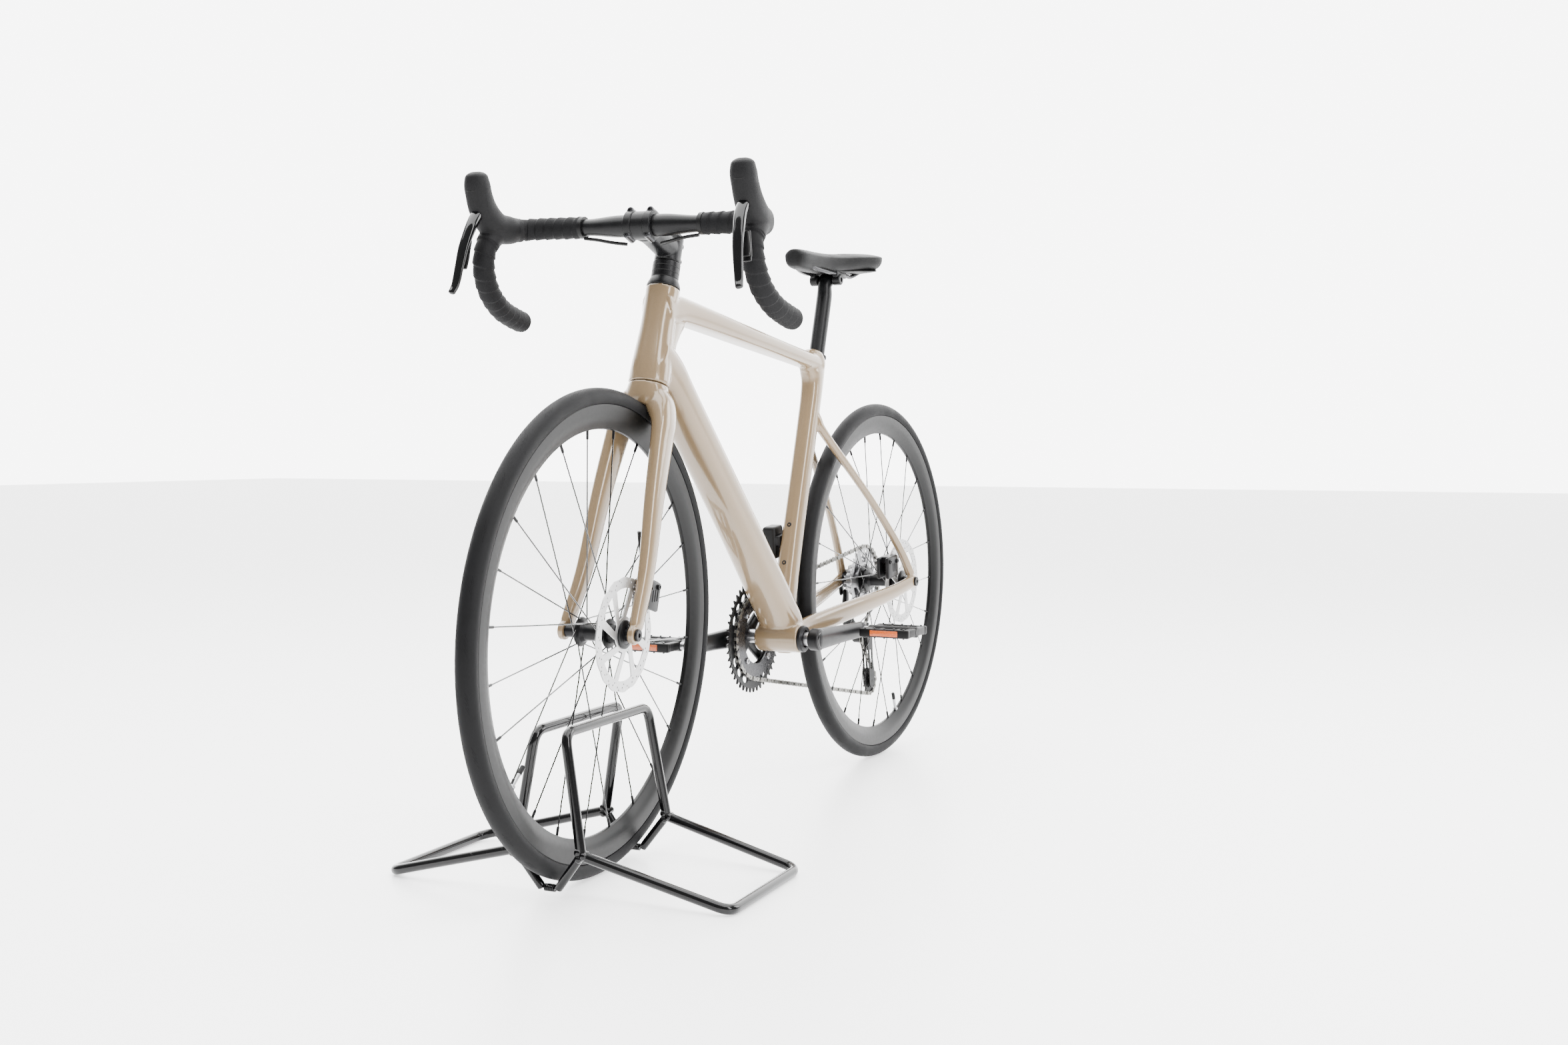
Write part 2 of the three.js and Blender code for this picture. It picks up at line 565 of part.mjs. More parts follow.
part(bicycle, 'frame', frameBody(), 'sand');
part(bicycle, 'rear_thru_axle', thruAxle(REAR_AXLE, 75.5, 80.4), 'black');

const collarRing = bar(seatLine(SEAT_TOP + GAP), seatLine(SEAT_TOP + COLLAR_HEIGHT), 17.5, 17.5, 1, 20);
const collar = cut(collarRing, [postHole(SEAT_TOP - 10, GAP)]);
part(bicycle, 'seat_collar', collar, 'black');

// ---------------------------------------------------------------- seatpost and saddle

const RAIL_Y = 22;
const RAIL_Z = 903;
const RAIL_RADIUS = 3.5;

function seatpost() {
  const shaft = bar(seatLine(POST_FOOT), seatLine(872), POST_RADIUS, POST_RADIUS, 1, 16);
  const neck = bar(seatLine(868), v(-271, 0, 892), POST_RADIUS - 0.5, 11, 1, 16);
  const head = bar(v(-271, -15, 893), v(-271, 15, 893), 11, 11, 1, 16);
  return join([shaft, neck, head]);
}

/** Two ears that grip the rails, bolted through the seatpost head. */
function saddleClamp() {
  const ears = SIDES.map(([, s]) => box(v(42, 11, 14), v(-270, s * RAIL_Y, RAIL_Z)));
  const bridge = box(v(26, 2 * RAIL_Y, 3), v(-270, 0, RAIL_Z + 5.3));
  const rails = SIDES.map(([, s]) =>
    bar(v(-330, s * RAIL_Y, RAIL_Z), v(-205, s * RAIL_Y, RAIL_Z), 4.6, 4.6, 1, 8));
  return cut(join([...ears, bridge]), rails);
}

const RAILS = [[-352, 36, 922], [-338, 29, 912], [-318, RAIL_Y, RAIL_Z], [-292, RAIL_Y, RAIL_Z],
  [-248, RAIL_Y, RAIL_Z], [-215, RAIL_Y, RAIL_Z], [-180, 17, 906], [-152, 10, 915], [-136, 0, 919]];

/** Both rails as one bent rod of the given radius, joined at the saddle's nose. */
function rails(radius) {
  const left = RAILS.map(([x, y, z]) => v(x, y, z));
  const right = [...RAILS].reverse().slice(1).map(([x, y, z]) => v(x, -y, z));
  return rod(smooth([...left, ...right]), radius, 40, 6);
}

/** Pear-shaped cushion and shell, cut away below for the rails. */
function saddle() {
  const outline = new THREE.Shape();
  outline.moveTo(0, -15);
  outline.bezierCurveTo(2, -20, 60, -20, 110, -26);
  outline.bezierCurveTo(170, -36, 185, -70, 236, -70);
  outline.bezierCurveTo(262, -70, 274, -40, 268, 0);
  outline.bezierCurveTo(274, 40, 262, 70, 236, 70);
  outline.bezierCurveTo(185, 70, 170, 36, 110, 26);
  outline.bezierCurveTo(60, 20, 2, 20, 0, 15);
  outline.bezierCurveTo(-3, 8, -3, -8, 0, -15);
  const slab = new THREE.ExtrudeGeometry(outline, {
    depth: 12,
    curveSegments: 7,
    bevelEnabled: true,
    bevelThickness: 5,
    bevelSize: 5,
    bevelOffset: -4,
    bevelSegments: 1,
  });
  slab.rotateZ(Math.PI);
  slab.rotateY(0.03);
  slab.translate(-110, 0, 925);
  return cut(solid(slab), [rails(RAIL_RADIUS + 3 * GAP)]);
}

part(bicycle, 'seatpost', seatpost(), 'black');
part(bicycle, 'saddle_clamp', saddleClamp(), 'black');
part(bicycle, 'saddle_rails', rails(RAIL_RADIUS), 'steel');
part(bicycle, 'saddle', saddle(), 'black');

// ---------------------------------------------------------------- drivetrain

const pitchRadius = (teeth) => PITCH / (2 * Math.sin(Math.PI / teeth));
const rootRadius = (teeth) => pitchRadius(teeth) - CHAIN_HALF - 0.9;

/** Tangent points of a belt running round circles; turn is +1 clockwise seen from the right. */
function beltOutline(circles, offset) {
  const outline = [];
  const count = circles.length;
  const tangents = circles.map((from, i) => {
    const to = circles[(i + 1) % count];
    const dx = to.x - from.x;
    const dz = to.z - from.z;
    const reach = Math.hypot(dx, dz);
    const r0 = from.turn * (from.r + from.turn * offset);
    const r1 = to.turn * (to.r + to.turn * offset);
    const base = Math.atan2(dz, dx) + Math.acos((r0 - r1) / reach);
    return { a0: base, r0, r1 };
  });
  circles.forEach((circle, i) => {
    const before = tangents[(i + count - 1) % count];
    const after = tangents[i];
    const start = before.a0;
    let sweep = after.a0 - start;
    const down = circle.turn > 0;
    while (down && sweep > 0) sweep -= 2 * Math.PI;
    while (down && sweep < -2 * Math.PI) sweep += 2 * Math.PI;
    while (!down && sweep < 0) sweep += 2 * Math.PI;
    while (!down && sweep > 2 * Math.PI) sweep -= 2 * Math.PI;
    const steps = Math.max(2, Math.ceil(Math.abs(sweep) / 0.24));
    for (let k = 0; k <= steps; k += 1) {
      const a = start + (sweep * k) / steps;
      outline.push(new THREE.Vector2(circle.x + after.r0 * Math.cos(a), circle.z + after.r0 * Math.sin(a)));
    }
  });
  return outline.reverse();
}

const BELT = [
  { x: BB.x, z: BB.z, r: pitchRadius(RING_TEETH), turn: 1 },
  { x: TENSION_PULLEY.x, z: TENSION_PULLEY.z, r: pitchRadius(PULLEY_TEETH), turn: 1 },
  { x: GUIDE_PULLEY.x, z: GUIDE_PULLEY.z, r: pitchRadius(PULLEY_TEETH), turn: -1 },
  { x: REAR_AXLE.x, z: REAR_AXLE.z, r: pitchRadius(COG_TEETH), turn: 1 },
];

/** Closed band with the chain's outer shape, running slightly across from ring to sprocket. */
function chain() {
  const shape = new THREE.Shape(beltOutline(BELT, CHAIN_HALF));
  shape.holes.push(new THREE.Path(beltOutline(BELT, -CHAIN_HALF)));
  const geometry = new THREE.ExtrudeGeometry(shape, { depth: CHAIN_WIDTH, bevelEnabled: false });
  geometry.translate(0, 0, -CHAIN_WIDTH / 2);
  geometry.rotateX(Math.PI / 2);
  const slope = (RING_Y - COG_Y) / (BB.x - REAR_AXLE.x);
  const lean = new THREE.Matrix4().set(1, 0, 0, 0, slope, 1, 0, COG_Y - slope * REAR_AXLE.x, 0, 0, 1,
    0, 0, 0, 0, 1);
  geometry.applyMatrix4(lean);
  return solid(geometry);
}

part(bicycle, 'chain', chain(), 'steel');

function cassette() {
  const smallest = 11;
  const steps = 5;
  const inner = 17.3 + GAP;
  const profile = [[inner, COG_Y - 34], [rootRadius(smallest) + 2, COG_Y - 34]];
  for (let k = steps - 1; k >= 0; k -= 1) {
    const teeth = smallest + ((COG_TEETH - smallest) * (steps - k)) / steps;
    const y = COG_Y - 1.5 - 6 * k;
    profile.push([rootRadius(teeth) - (k > 0 ? 1 : 0), y - (k > 0 ? 1.5 : 0)],
      [rootRadius(teeth) - (k > 0 ? 1 : 0), y]);
  }
  profile.push([rootRadius(COG_TEETH), COG_Y + 1.5], [inner, COG_Y + 1.5]);
  return turned(profile, REAR_AXLE, 20);
}

part(bicycle, 'cassette', cassette(), 'steel');

const axisAt = (centre, y) => v(centre.x, y, centre.z);

function crankArm(s) {
  const foot = v(BB.x, s * CRANK_Y, BB.z);
  const tip = v(BB.x - s * CRANK_LENGTH, s * (CRANK_Y + 5), BB.z);
  const arm = bar(foot, tip, 16, 12.5, 0.56, 14);
  const boss = bar(axisAt(foot, s * (CRANK_Y - 10)), axisAt(foot, s * (CRANK_Y + 9)), 19, 19, 1, 20);
  const eye = bar(axisAt(tip, s * (CRANK_Y - 3)), axisAt(tip, s * (CRANK_Y + 13)), 13.5, 13.5, 1, 16);
  const shaft = bar(axisAt(tip, s * (CRANK_Y + 10)), axisAt(tip, s * (PEDAL_Y + 44)), 5, 5, 1, 10);
  return join([arm, boss, eye, shaft]);
}

function crankLeft() {
  const spindle = bar(axisAt(BB, -58), axisAt(BB, 62), 12, 12, 1, 16);
  return join([crankArm(1), spindle]);
}

function crankRight() {
  const arms = [];
  for (let k = 0; k < 4; k += 1) {
    const a = Math.PI / 4 + (Math.PI * k) / 2;
    const tip = v(BB.x + 55 * Math.cos(a), -57.5, BB.z + 55 * Math.sin(a));
    arms.push(bar(v(BB.x, -63, BB.z), tip, 12, 8, 0.5, 10));
    arms.push(bar(axisAt(tip, -52.5), axisAt(tip, -59), 7.5, 7.5, 1, 10));
  }
  const socket = sleeve(0, 12 + GAP, -58.4, -40, BB, 16);
  return cut(join([crankArm(-1), ...arms]), [socket]);
}

const toothRing = (teeth, inner, y, thick) =>
  sleeve(inner, rootRadius(teeth), y - thick / 2, y + thick / 2, BB, 32);

part(bicycle, 'crank_left', crankLeft(), 'black');
part(bicycle, 'crank_right', crankRight(), 'black');
part(bicycle, 'chainring_outer', toothRing(RING_BIG_TEETH, 47, RING_BIG_Y - 1, 4), 'black');
part(bicycle, 'chainring_inner', toothRing(RING_TEETH, 47, RING_Y - 1.2, 4.4), 'black');

/** Platform pedal: an open rectangular cage on a round axle housing. */
function pedal(s) {
  const centre = v(BB.x - s * CRANK_LENGTH, s * PEDAL_Y, BB.z);
  const plate = box(v(92, 94, 17), centre);
  const window = [-1, 1].map((e) => box(v(24, 62, 40), centre.clone().add(v(e * 24, 0, 0))));
  const housing = sleeve(0, 9.5, s * (PEDAL_Y - 47), s * (PEDAL_Y + 47), centre, 12);
  const bore = sleeve(0, 5.4, s * (PEDAL_Y - 60), s * (PEDAL_Y + 44.5), centre, 10);
  return cut(join([cut(plate, window), housing]), [bore]);
}

SIDES.forEach(([side, s]) => part(bicycle, `pedal_${side}`, pedal(s), 'black'));

// ---------------------------------------------------------------- derailleurs

const PLATE_Y = 6.2;                      // cage plate's distance from the chain's plane

function rearDerailleur() {
  const knuckle = bar(v(-500, -63.4, 310), v(-500, -70.6, 310), 9, 9, 1, 14);
  const upper = bar(v(-500, -66.6, 312), v(-478, -59, 268), 9.5, 10, 0.38, 12);
  const link = bar(v(-478, -56, 270), v(-500, -47, 234), 12, 11, 1.0, 12);
  const lower = bar(v(GUIDE_PULLEY.x, COG_Y - 9.2, GUIDE_PULLEY.z),
    v(GUIDE_PULLEY.x, -53, GUIDE_PULLEY.z), 12.5, 12.5, 1, 16);
  return join([knuckle, upper, link, lower]);
}

function derailleurCage() {
  const plates = [-1, 1].map((e) => {
    const y = COG_Y + e * PLATE_Y;
    const slab = (centre, r) => bar(axisAt(centre, y - 0.9), axisAt(centre, y + 0.9), r, r, 1, 18);
    const span = GUIDE_PULLEY.clone().sub(TENSION_PULLEY);
    const middle = GUIDE_PULLEY.clone().add(TENSION_PULLEY).multiplyScalar(0.5);
    const web = box(v(17, 1.8, span.length()), axisAt(middle, y), Math.atan2(span.x, span.z));
    return join([slab(GUIDE_PULLEY, 13), slab(TENSION_PULLEY, 13), web]);
  });
  const bolts = [GUIDE_PULLEY, TENSION_PULLEY].map((c) =>
    bar(axisAt(c, COG_Y - PLATE_Y), axisAt(c, COG_Y + PLATE_Y), 3, 3, 1, 10));
  return join([...plates, ...bolts]);
}

const pulley = (centre) => sleeve(3 + GAP, rootRadius(PULLEY_TEETH), COG_Y - 1.6, COG_Y + 1.6, centre, 16);

part(bicycle, 'rear_derailleur', rearDerailleur(), 'black');
part(bicycle, 'derailleur_cage', derailleurCage(), 'black');
part(bicycle, 'guide_pulley', pulley(GUIDE_PULLEY), 'black');
part(bicycle, 'tension_pulley', pulley(TENSION_PULLEY), 'black');

function frontDerailleur() {
  const motor = box(v(36, 26, 58), v(-118, -34, 432), 0.12);
  const arm = bar(v(-124, -42, 408), v(-128, -46, 379), 9, 8, 0.9, 10);
  const bridge = box(v(46, 20.2, 4), v(-124, -45.2, 380), 0.1);
  const plates = [[-35.4, 20], [-55, 16]].map(([y, low]) =>
    box(v(62, 1.4, 26 + low), v(-122, y, 369 - low / 2 + 0.5), 0.1));
  const mount = box(v(26, 14, 18), v(-112, -20.5, 436), 0.2);
  const tubeRoom = bar(seatLine(380), seatLine(480), 17.8, 17.8, 1, 16);
  return cut(join([motor, arm, bridge, ...plates, mount]), [tubeRoom]);
}

part(bicycle, 'front_derailleur', frontDerailleur(), 'black');

// ---------------------------------------------------------------- floor stand

const STAND = {
  junctionX: 124, junctionY: 50, junctionZ: 61,
  hoopX: 117, hoopY: 22.5, hoopZ: 220,
  footX: 113, footY: 259,
  armX: 120, armY: 13, armZ: 13,
};

/** Rod through points, bent round each corner with the given radius. */
function bentRod(points, bend, radius) {
  const route = [points[0]];
  points.slice(1, -1).forEach((corner, i) => {
    const enter = corner.clone().add(points[i].clone().sub(corner).setLength(bend));
    const leave = corner.clone().add(points[i + 2].clone().sub(corner).setLength(bend));
    route.push(...new THREE.QuadraticBezierCurve3(enter, corner, leave).getPoints(4));
  });
  route.push(points[points.length - 1]);
  const normal = points[0].clone().sub(points[1]).cross(points[2].clone().sub(points[1])).normalize();
  return limb(route.map((point) => [...point.toArray(), radius]), 10, normal);
}

function standHalf(s) {
  const at = (x, y, z) => v(x, s * y, z);
  const { junctionX: jx, junctionY: jy, junctionZ: jz, armX, armY, armZ } = STAND;
  const { hoopX, hoopY, hoopZ, footX, footY } = STAND;
  const hoop = bentRod([
    at(jx, jy, jz), at(hoopX, hoopY, hoopZ), at(-hoopX, hoopY, hoopZ), at(-jx, jy, jz),
  ], 20, STAND_TUBE);
  const foot = bentRod([
    at(jx, jy, jz), at(footX, footY, STAND_TUBE), at(-footX, footY, STAND_TUBE), at(-jx, jy, jz),
  ], 20, STAND_TUBE);
  const thin = STAND_TUBE - 1.2;
  const arms = [1, -1].map((e) => bar(at(e * jx, jy, jz), at(e * armX, armY, armZ), thin, thin, 1, 8));
  const weld = [1, -1].map((e) => ball(at(e * jx, jy, jz), STAND_TUBE + 0.8));
  return join([hoop, foot, ...arms, ...weld]);
}

part(stand, 'stand_left_half', standHalf(1), 'stand');
part(stand, 'stand_right_half', standHalf(-1), 'stand');
[['front', 1], ['rear', -1]].forEach(([name, e]) => {
  const reach = STAND.armY - 4.2;
  const spring = bar(v(e * STAND.armX, -reach, STAND.armZ - 0.5),
    v(e * STAND.armX, reach, STAND.armZ - 0.5), 5.5, 5.5, 1, 10);
  const clear = SIDES.map(([, s]) => bar(v(e * STAND.junctionX, s * STAND.junctionY, STAND.junctionZ),
    v(e * STAND.armX, s * STAND.armY, STAND.armZ), STAND_TUBE - 1.2 + GAP, STAND_TUBE - 1.2 + GAP, 1, 10));
  part(stand, `stand_spring_${name}`, cut(spring, clear), 'stand');
});

stand.position.set(STAND_X, STAND_Y, 0);
stand.rotation.z = STAND_YAW;

export default bicycle;
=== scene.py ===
"""Looks of a drop-bar bicycle held upright by a folding floor stand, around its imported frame.

Lengths in the tables are millimetres in the frame of the part: +X forward, +Y to the rider's
left, +Z up, origin on the floor midway between the axles, which is the centre of the outline.
mm() turns them into metres.
"""

from math import acos, atan2, copysign, cos, dist, exp, hypot, pi, radians, sin, tan, tau
import random

import bmesh
import bpy
from mathutils import Matrix, Vector


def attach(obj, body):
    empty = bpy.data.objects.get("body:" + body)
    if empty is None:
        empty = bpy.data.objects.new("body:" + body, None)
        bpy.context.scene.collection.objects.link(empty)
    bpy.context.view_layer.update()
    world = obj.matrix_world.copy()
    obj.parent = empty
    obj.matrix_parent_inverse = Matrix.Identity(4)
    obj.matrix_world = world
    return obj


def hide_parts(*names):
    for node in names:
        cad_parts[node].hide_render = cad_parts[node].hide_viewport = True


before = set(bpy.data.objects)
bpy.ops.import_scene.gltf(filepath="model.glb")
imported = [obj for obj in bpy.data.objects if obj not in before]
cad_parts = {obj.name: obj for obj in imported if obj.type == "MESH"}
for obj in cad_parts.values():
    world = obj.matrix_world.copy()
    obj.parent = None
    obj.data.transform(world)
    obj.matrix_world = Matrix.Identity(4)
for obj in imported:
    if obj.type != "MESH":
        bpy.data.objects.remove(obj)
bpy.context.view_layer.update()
random.seed(7)

# ------------------------------------------------------------------ driving dimensions

MM = 0.001
SIDES = (("left", 1), ("right", -1))
ACROSS = Vector((0, 1, 0))

TYRE_RADIUS = 339
TYRE_HALF = 14
RIM_OUTER = 317
RIM_INNER = 282
RIM_HALF = 11.5
TREAD_GROUPS = 30
TREAD_LIFT = 0.12
SPOKES = 24
ROTOR_RADIUS = 80
HOSE_RADIUS = 2.5
FRONT_AXLE = (495, 0, 339)
REAR_AXLE = (-495, 0, 339)
BB = (-73, 0, 272)

HEAD_ANGLE = radians(73.5)
RAKE = 37
STEER_REST = radians(3.8)
HEAD_BOTTOM = 373
HEAD_TOP = 522
STEM_BOTTOM = 562
STEM_TOP = 604
STEM_LENGTH = 90
SEAT_ANGLE = radians(73)
SEAT_TOP = 752

PITCH = 12.7
RING_Y = -42
BIG_RING_Y = -49.6
COG_Y = -26
RING_TEETH = 36
BIG_RING_TEETH = 46
COG_TEETH = (11, 12, 13, 14, 15, 16, 17, 19, 21, 24, 28, 32)
PULLEY_TEETH = 12
GUIDE_PULLEY = (-507, COG_Y, 226)
TENSION_PULLEY = (-520, COG_Y, 138)
CRANK_LENGTH = 172.5
CRANK_Y = 70
PEDAL_Y = 138

STAND_AT = Matrix.Translation((0.5, -0.003, 0)) @ Matrix.Rotation(radians(3.64), 4, "Z")
STEERED_BODIES = ("front_", "brake_lever_", "shift_paddle_")

SENSOR_MM = 36
LENS_MM = 37.44
CAMERA_AT = (2.400, 1.229, 0.599)
CAMERA_YAW = radians(206.26)
CAMERA_PITCH = radians(-2.72)

# name, place, point aimed at, size, watts
LIGHTS = (("ceiling", (0.4, 0, 3.2), (0.2, 0, 0.3), (5.5, 3.6), 420),
          ("key", (1.0, 3.2, 1.8), (0.2, 0, 0.5), (0.9, 2.2), 90),
          ("rim", (-2.2, 2.6, 1.8), (-0.1, 0, 0.5), (1.4, 1.8), 70))
WALL_WAY = (-0.89, -0.44, 0.05)       # from the bicycle to the bright wall
WALL_EDGE = (0.25, 0.8)               # cosines between which the room turns into the wall
WALL_LIGHT = (0.45, 7.5)              # strength of the room and of the wall


def mm(x, y, z):
    """A point in millimetres as a vector in metres."""
    return Vector((x * MM, y * MM, z * MM))


UP = Vector((-cos(HEAD_ANGLE), 0, sin(HEAD_ANGLE)))
AHEAD = Vector((sin(HEAD_ANGLE), 0, cos(HEAD_ANGLE)))
STEER_FOOT = Vector(FRONT_AXLE) - RAKE * AHEAD


def on_steer(height, ahead=0, y=0):
    """Millimetre point at a height along the steering axis and a distance ahead of it."""
    return tuple(STEER_FOOT + height * UP + ahead * AHEAD + y * ACROSS)


def seat_line(z, y=0):
    """Millimetre point on the seat tube's axis at height z."""
    return (BB[0] - (z - BB[2]) / tan(SEAT_ANGLE), y, z)


BAR = on_steer((STEM_BOTTOM + STEM_TOP) / 2, STEM_LENGTH)
foot = STEER_FOOT * MM
STEERED = Matrix.Translation(foot) @ Matrix.Rotation(STEER_REST, 4, UP) @ Matrix.Translation(-foot)


def on_bar(x, y, z):
    """Millimetre point from the handlebar's centre."""
    return (BAR[0] + x, BAR[1] + y, BAR[2] + z)


# ------------------------------------------------------------------ camera and light


def linked(name, data):
    """A new object in the scene."""
    made = bpy.data.objects.new(name, data)
    bpy.context.scene.collection.objects.link(made)
    return made


def add_camera():
    data = bpy.data.cameras.new("camera")
    data.sensor_width = SENSOR_MM
    data.lens = LENS_MM
    camera = linked("camera", data)
    level = cos(CAMERA_PITCH)
    look = Vector((level * cos(CAMERA_YAW), level * sin(CAMERA_YAW), sin(CAMERA_PITCH)))
    camera.rotation_euler = look.to_track_quat("-Z", "Y").to_euler()
    camera.location = CAMERA_AT
    bpy.context.scene.camera = camera


def add_light(name, place, aim, size, power):
    data = bpy.data.lights.new(name, "AREA")
    data.shape = "RECTANGLE"
    data.size, data.size_y = size
    data.energy = power
    light = linked(name, data)
    light.location = place
    light.rotation_euler = (Vector(aim) - Vector(place)).to_track_quat("-Z", "Y").to_euler()


def wire(node, values):
    """Sets a node's sockets by name: to the output given, or to a constant."""
    for key, value in values.items():
        if isinstance(value, bpy.types.NodeSocket):
            node.id_data.links.new(value, node.inputs[key])
        else:
            node.inputs[key].default_value = value
    return node


def new_node(tree, kind, values):
    return wire(tree.nodes.new("ShaderNode" + kind), values)


def add_stage():
    """A lit white wall behind the bicycle, a dimmer room on the camera's side, and a pale floor."""
    world = bpy.data.worlds.new("studio")
    world.use_nodes = True
    tree = world.node_tree
    toward = new_node(tree, "TexCoord", {})
    facing = tree.nodes.new("ShaderNodeVectorMath")
    facing.operation = "DOT_PRODUCT"
    facing.inputs[1].default_value = WALL_WAY
    tree.links.new(toward.outputs["Generated"], facing.inputs[0])
    glow = new_node(tree, "MapRange", {
        "From Min": WALL_EDGE[0], "From Max": WALL_EDGE[1], "To Min": WALL_LIGHT[0], "To Max": WALL_LIGHT[1],
        "Value": facing.outputs["Value"]})
    wire(tree.nodes["Background"], {"Color": (1, 1, 1, 1), "Strength": glow.outputs["Result"]})
    bpy.context.scene.world = world
    for light in LIGHTS:
        add_light(*light)
    bpy.ops.mesh.primitive_plane_add(size=40, location=(0, 0, 0))
    floor = bpy.context.object
    floor.name = "floor"
    pale = bpy.data.materials.new("floor")
    pale.use_nodes = True
    wire(pale.node_tree.nodes["Principled BSDF"], {
        "Base Color": (0.97, 0.97, 0.97, 1), "Roughness": 0.35, "Emission Color": (1, 1, 1, 1),
        "Emission Strength": 0.9})
    floor.data.materials.append(pale)


# ------------------------------------------------------------------ materials


def surface(name, colour, roughness, metallic, coat, specular, spread, scale, bump, grain, cells=False,
            scuff=None):
    """Procedural finish: clouded colour, uneven roughness, fine grain, and optional worn patches."""
    made = bpy.data.materials.new(name)
    made.use_nodes = True
    tree = made.node_tree
    place = new_node(tree, "TexCoord", {}).outputs["Object"]
    cloud = new_node(tree, "TexNoise", {"Scale": scale, "Detail": 5, "Vector": place}).outputs["Fac"]
    tint = new_node(tree, "ValToRGB", {"Fac": cloud})
    low, high = tint.color_ramp.elements
    low.position, high.position = 0.3, 0.7
    low.color = [c * (1 - spread) for c in colour] + [1]
    high.color = [min(1, c * (1 + spread)) for c in colour] + [1]
    paint = tint.outputs["Color"]
    if scuff:
        marks = new_node(tree, "TexNoise", {"Scale": 70, "Detail": 9, "Roughness": 0.75, "Vector": place})
        cut = new_node(tree, "MapRange", {"From Min": 0.64, "From Max": 0.70, "Value": marks.outputs["Fac"]})
        worn = tree.nodes.new("ShaderNodeMix")
        worn.data_type = "RGBA"
        wire(worn, {"A": paint, "B": [*scuff, 1], "Factor": cut.outputs["Result"]})
        paint = worn.outputs["Result"]
    rough = new_node(tree, "MapRange", {
        "To Min": max(0.03, roughness * 0.8), "To Max": min(1, roughness * 1.2), "Value": cloud})
    kind, height = ("TexVoronoi", "Distance") if cells else ("TexNoise", "Fac")
    fine = new_node(tree, kind, {"Scale": grain, "Vector": place})
    relief = new_node(tree, "Bump", {"Strength": bump, "Distance": 0.0004, "Height": fine.outputs[height]})
    wire(tree.nodes["Principled BSDF"], {
        "Metallic": metallic, "Coat Weight": coat, "Specular IOR Level": specular, "Coat Roughness": 0.04,
        "Base Color": paint, "Roughness": rough.outputs["Result"], "Normal": relief.outputs["Normal"]})
    return made


# name, colour, roughness, metallic, coat, specular, spread, scale, bump, grain, cells, scuff
FINISHES = (
    ("sand_paint", (0.2, 0.138, 0.075), 0.24, 0.15, 0.8, 0.5, 0.04, 700, 0.01, 2500),
    ("stand_enamel", (0.002, 0.002, 0.0022), 0.16, 0, 0.25, 0.25, 0.12, 45, 0.05, 300,
     False, (0.05, 0.05, 0.05)),
    ("tyre_rubber", (0.005, 0.005, 0.0055), 0.6, 0, 0, 0.12, 0.25, 30, 0.25, 1400),
    ("tread_cut", (0.003, 0.003, 0.0035), 0.8, 0, 0, 0.15, 0.2, 90, 0.2, 1500),
    ("rim_composite", (0.002, 0.002, 0.0022), 0.36, 0, 0, 0.2, 0.25, 160, 0.04, 700),
    ("black_anodised", (0.004, 0.004, 0.0045), 0.36, 0.2, 0, 0.25, 0.15, 80, 0.06, 1800),
    ("gloss_black", (0.001, 0.001, 0.0012), 0.1, 0, 0.3, 0.35, 0.1, 60, 0.01, 600),
    ("black_plastic", (0.003, 0.003, 0.0032), 0.42, 0, 0, 0.2, 0.15, 90, 0.12, 2200),
    ("hood_rubber", (0.006, 0.006, 0.0065), 0.6, 0, 0, 0.15, 0.1, 50, 0.3, 1100, True),
    ("bar_tape", (0.004, 0.004, 0.0045), 0.68, 0, 0, 0.15, 0.2, 120, 0.35, 1500),
    ("brake_hose", (0.003, 0.003, 0.0033), 0.35, 0, 0, 0.25, 0.1, 90, 0.03, 1500),
    ("brushed_steel", (0.4, 0.4, 0.41), 0.3, 1, 0, 0.5, 0.08, 140, 0.08, 2600),
    ("rotor_steel", (0.5, 0.5, 0.5), 0.32, 0.85, 0, 0.5, 0.06, 200, 0.15, 2600),
    ("chain_steel", (0.22, 0.215, 0.2), 0.34, 0.95, 0, 0.5, 0.35, 220, 0.1, 1800),
    ("bolt_steel", (0.05, 0.05, 0.053), 0.28, 0.9, 0, 0.5, 0.2, 220, 0.1, 1800),
    ("saddle_cover", (0.003, 0.003, 0.0032), 0.5, 0, 0, 0.2, 0.12, 60, 0.35, 1300, True),
    ("amber_reflector", (0.5, 0.085, 0.006), 0.18, 0, 0.6, 0.5, 0.25, 420, 0.5, 900, True),
)
(PAINT, STAND_PAINT, TYRE, TREAD, RIM, BLACK, GLOSS, PLASTIC, HOOD, TAPE, HOSE, STEEL, ROTOR, CHAIN, RUST,
 COVER, AMBER) = (surface(*row) for row in FINISHES)

# ------------------------------------------------------------------ mesh helpers


def mesh_object(name, vertices, faces, angle=40):
    """A linked object whose normals point out and whose edges sharper than angle stay crisp."""
    mesh = bpy.data.meshes.new(name)
    mesh.from_pydata([tuple(v) for v in vertices], [], faces)
    weld(mesh, 1e-7)
    return shade(linked(name, mesh), angle)


def shade(obj, angle):
    obj.data.polygons.foreach_set("use_smooth", [True] * len(obj.data.polygons))
    obj.data.set_sharp_from_angle(angle=radians(angle))
    return obj


def weld(mesh, distance):
    """Joins points closer than the distance in metres and turns all normals outward."""
    shell = bmesh.new()
    shell.from_mesh(mesh)
    bmesh.ops.remove_doubles(shell, verts=shell.verts, dist=distance)
    bmesh.ops.recalc_face_normals(shell, faces=shell.faces)
    shell.to_mesh(mesh)
    shell.free()


def from_shell(name, shell, angle):
    """An object that takes up a bmesh."""
    mesh = bpy.data.meshes.new(name)
    shell.to_mesh(mesh)
    shell.free()
    return shade(linked(name, mesh), angle)


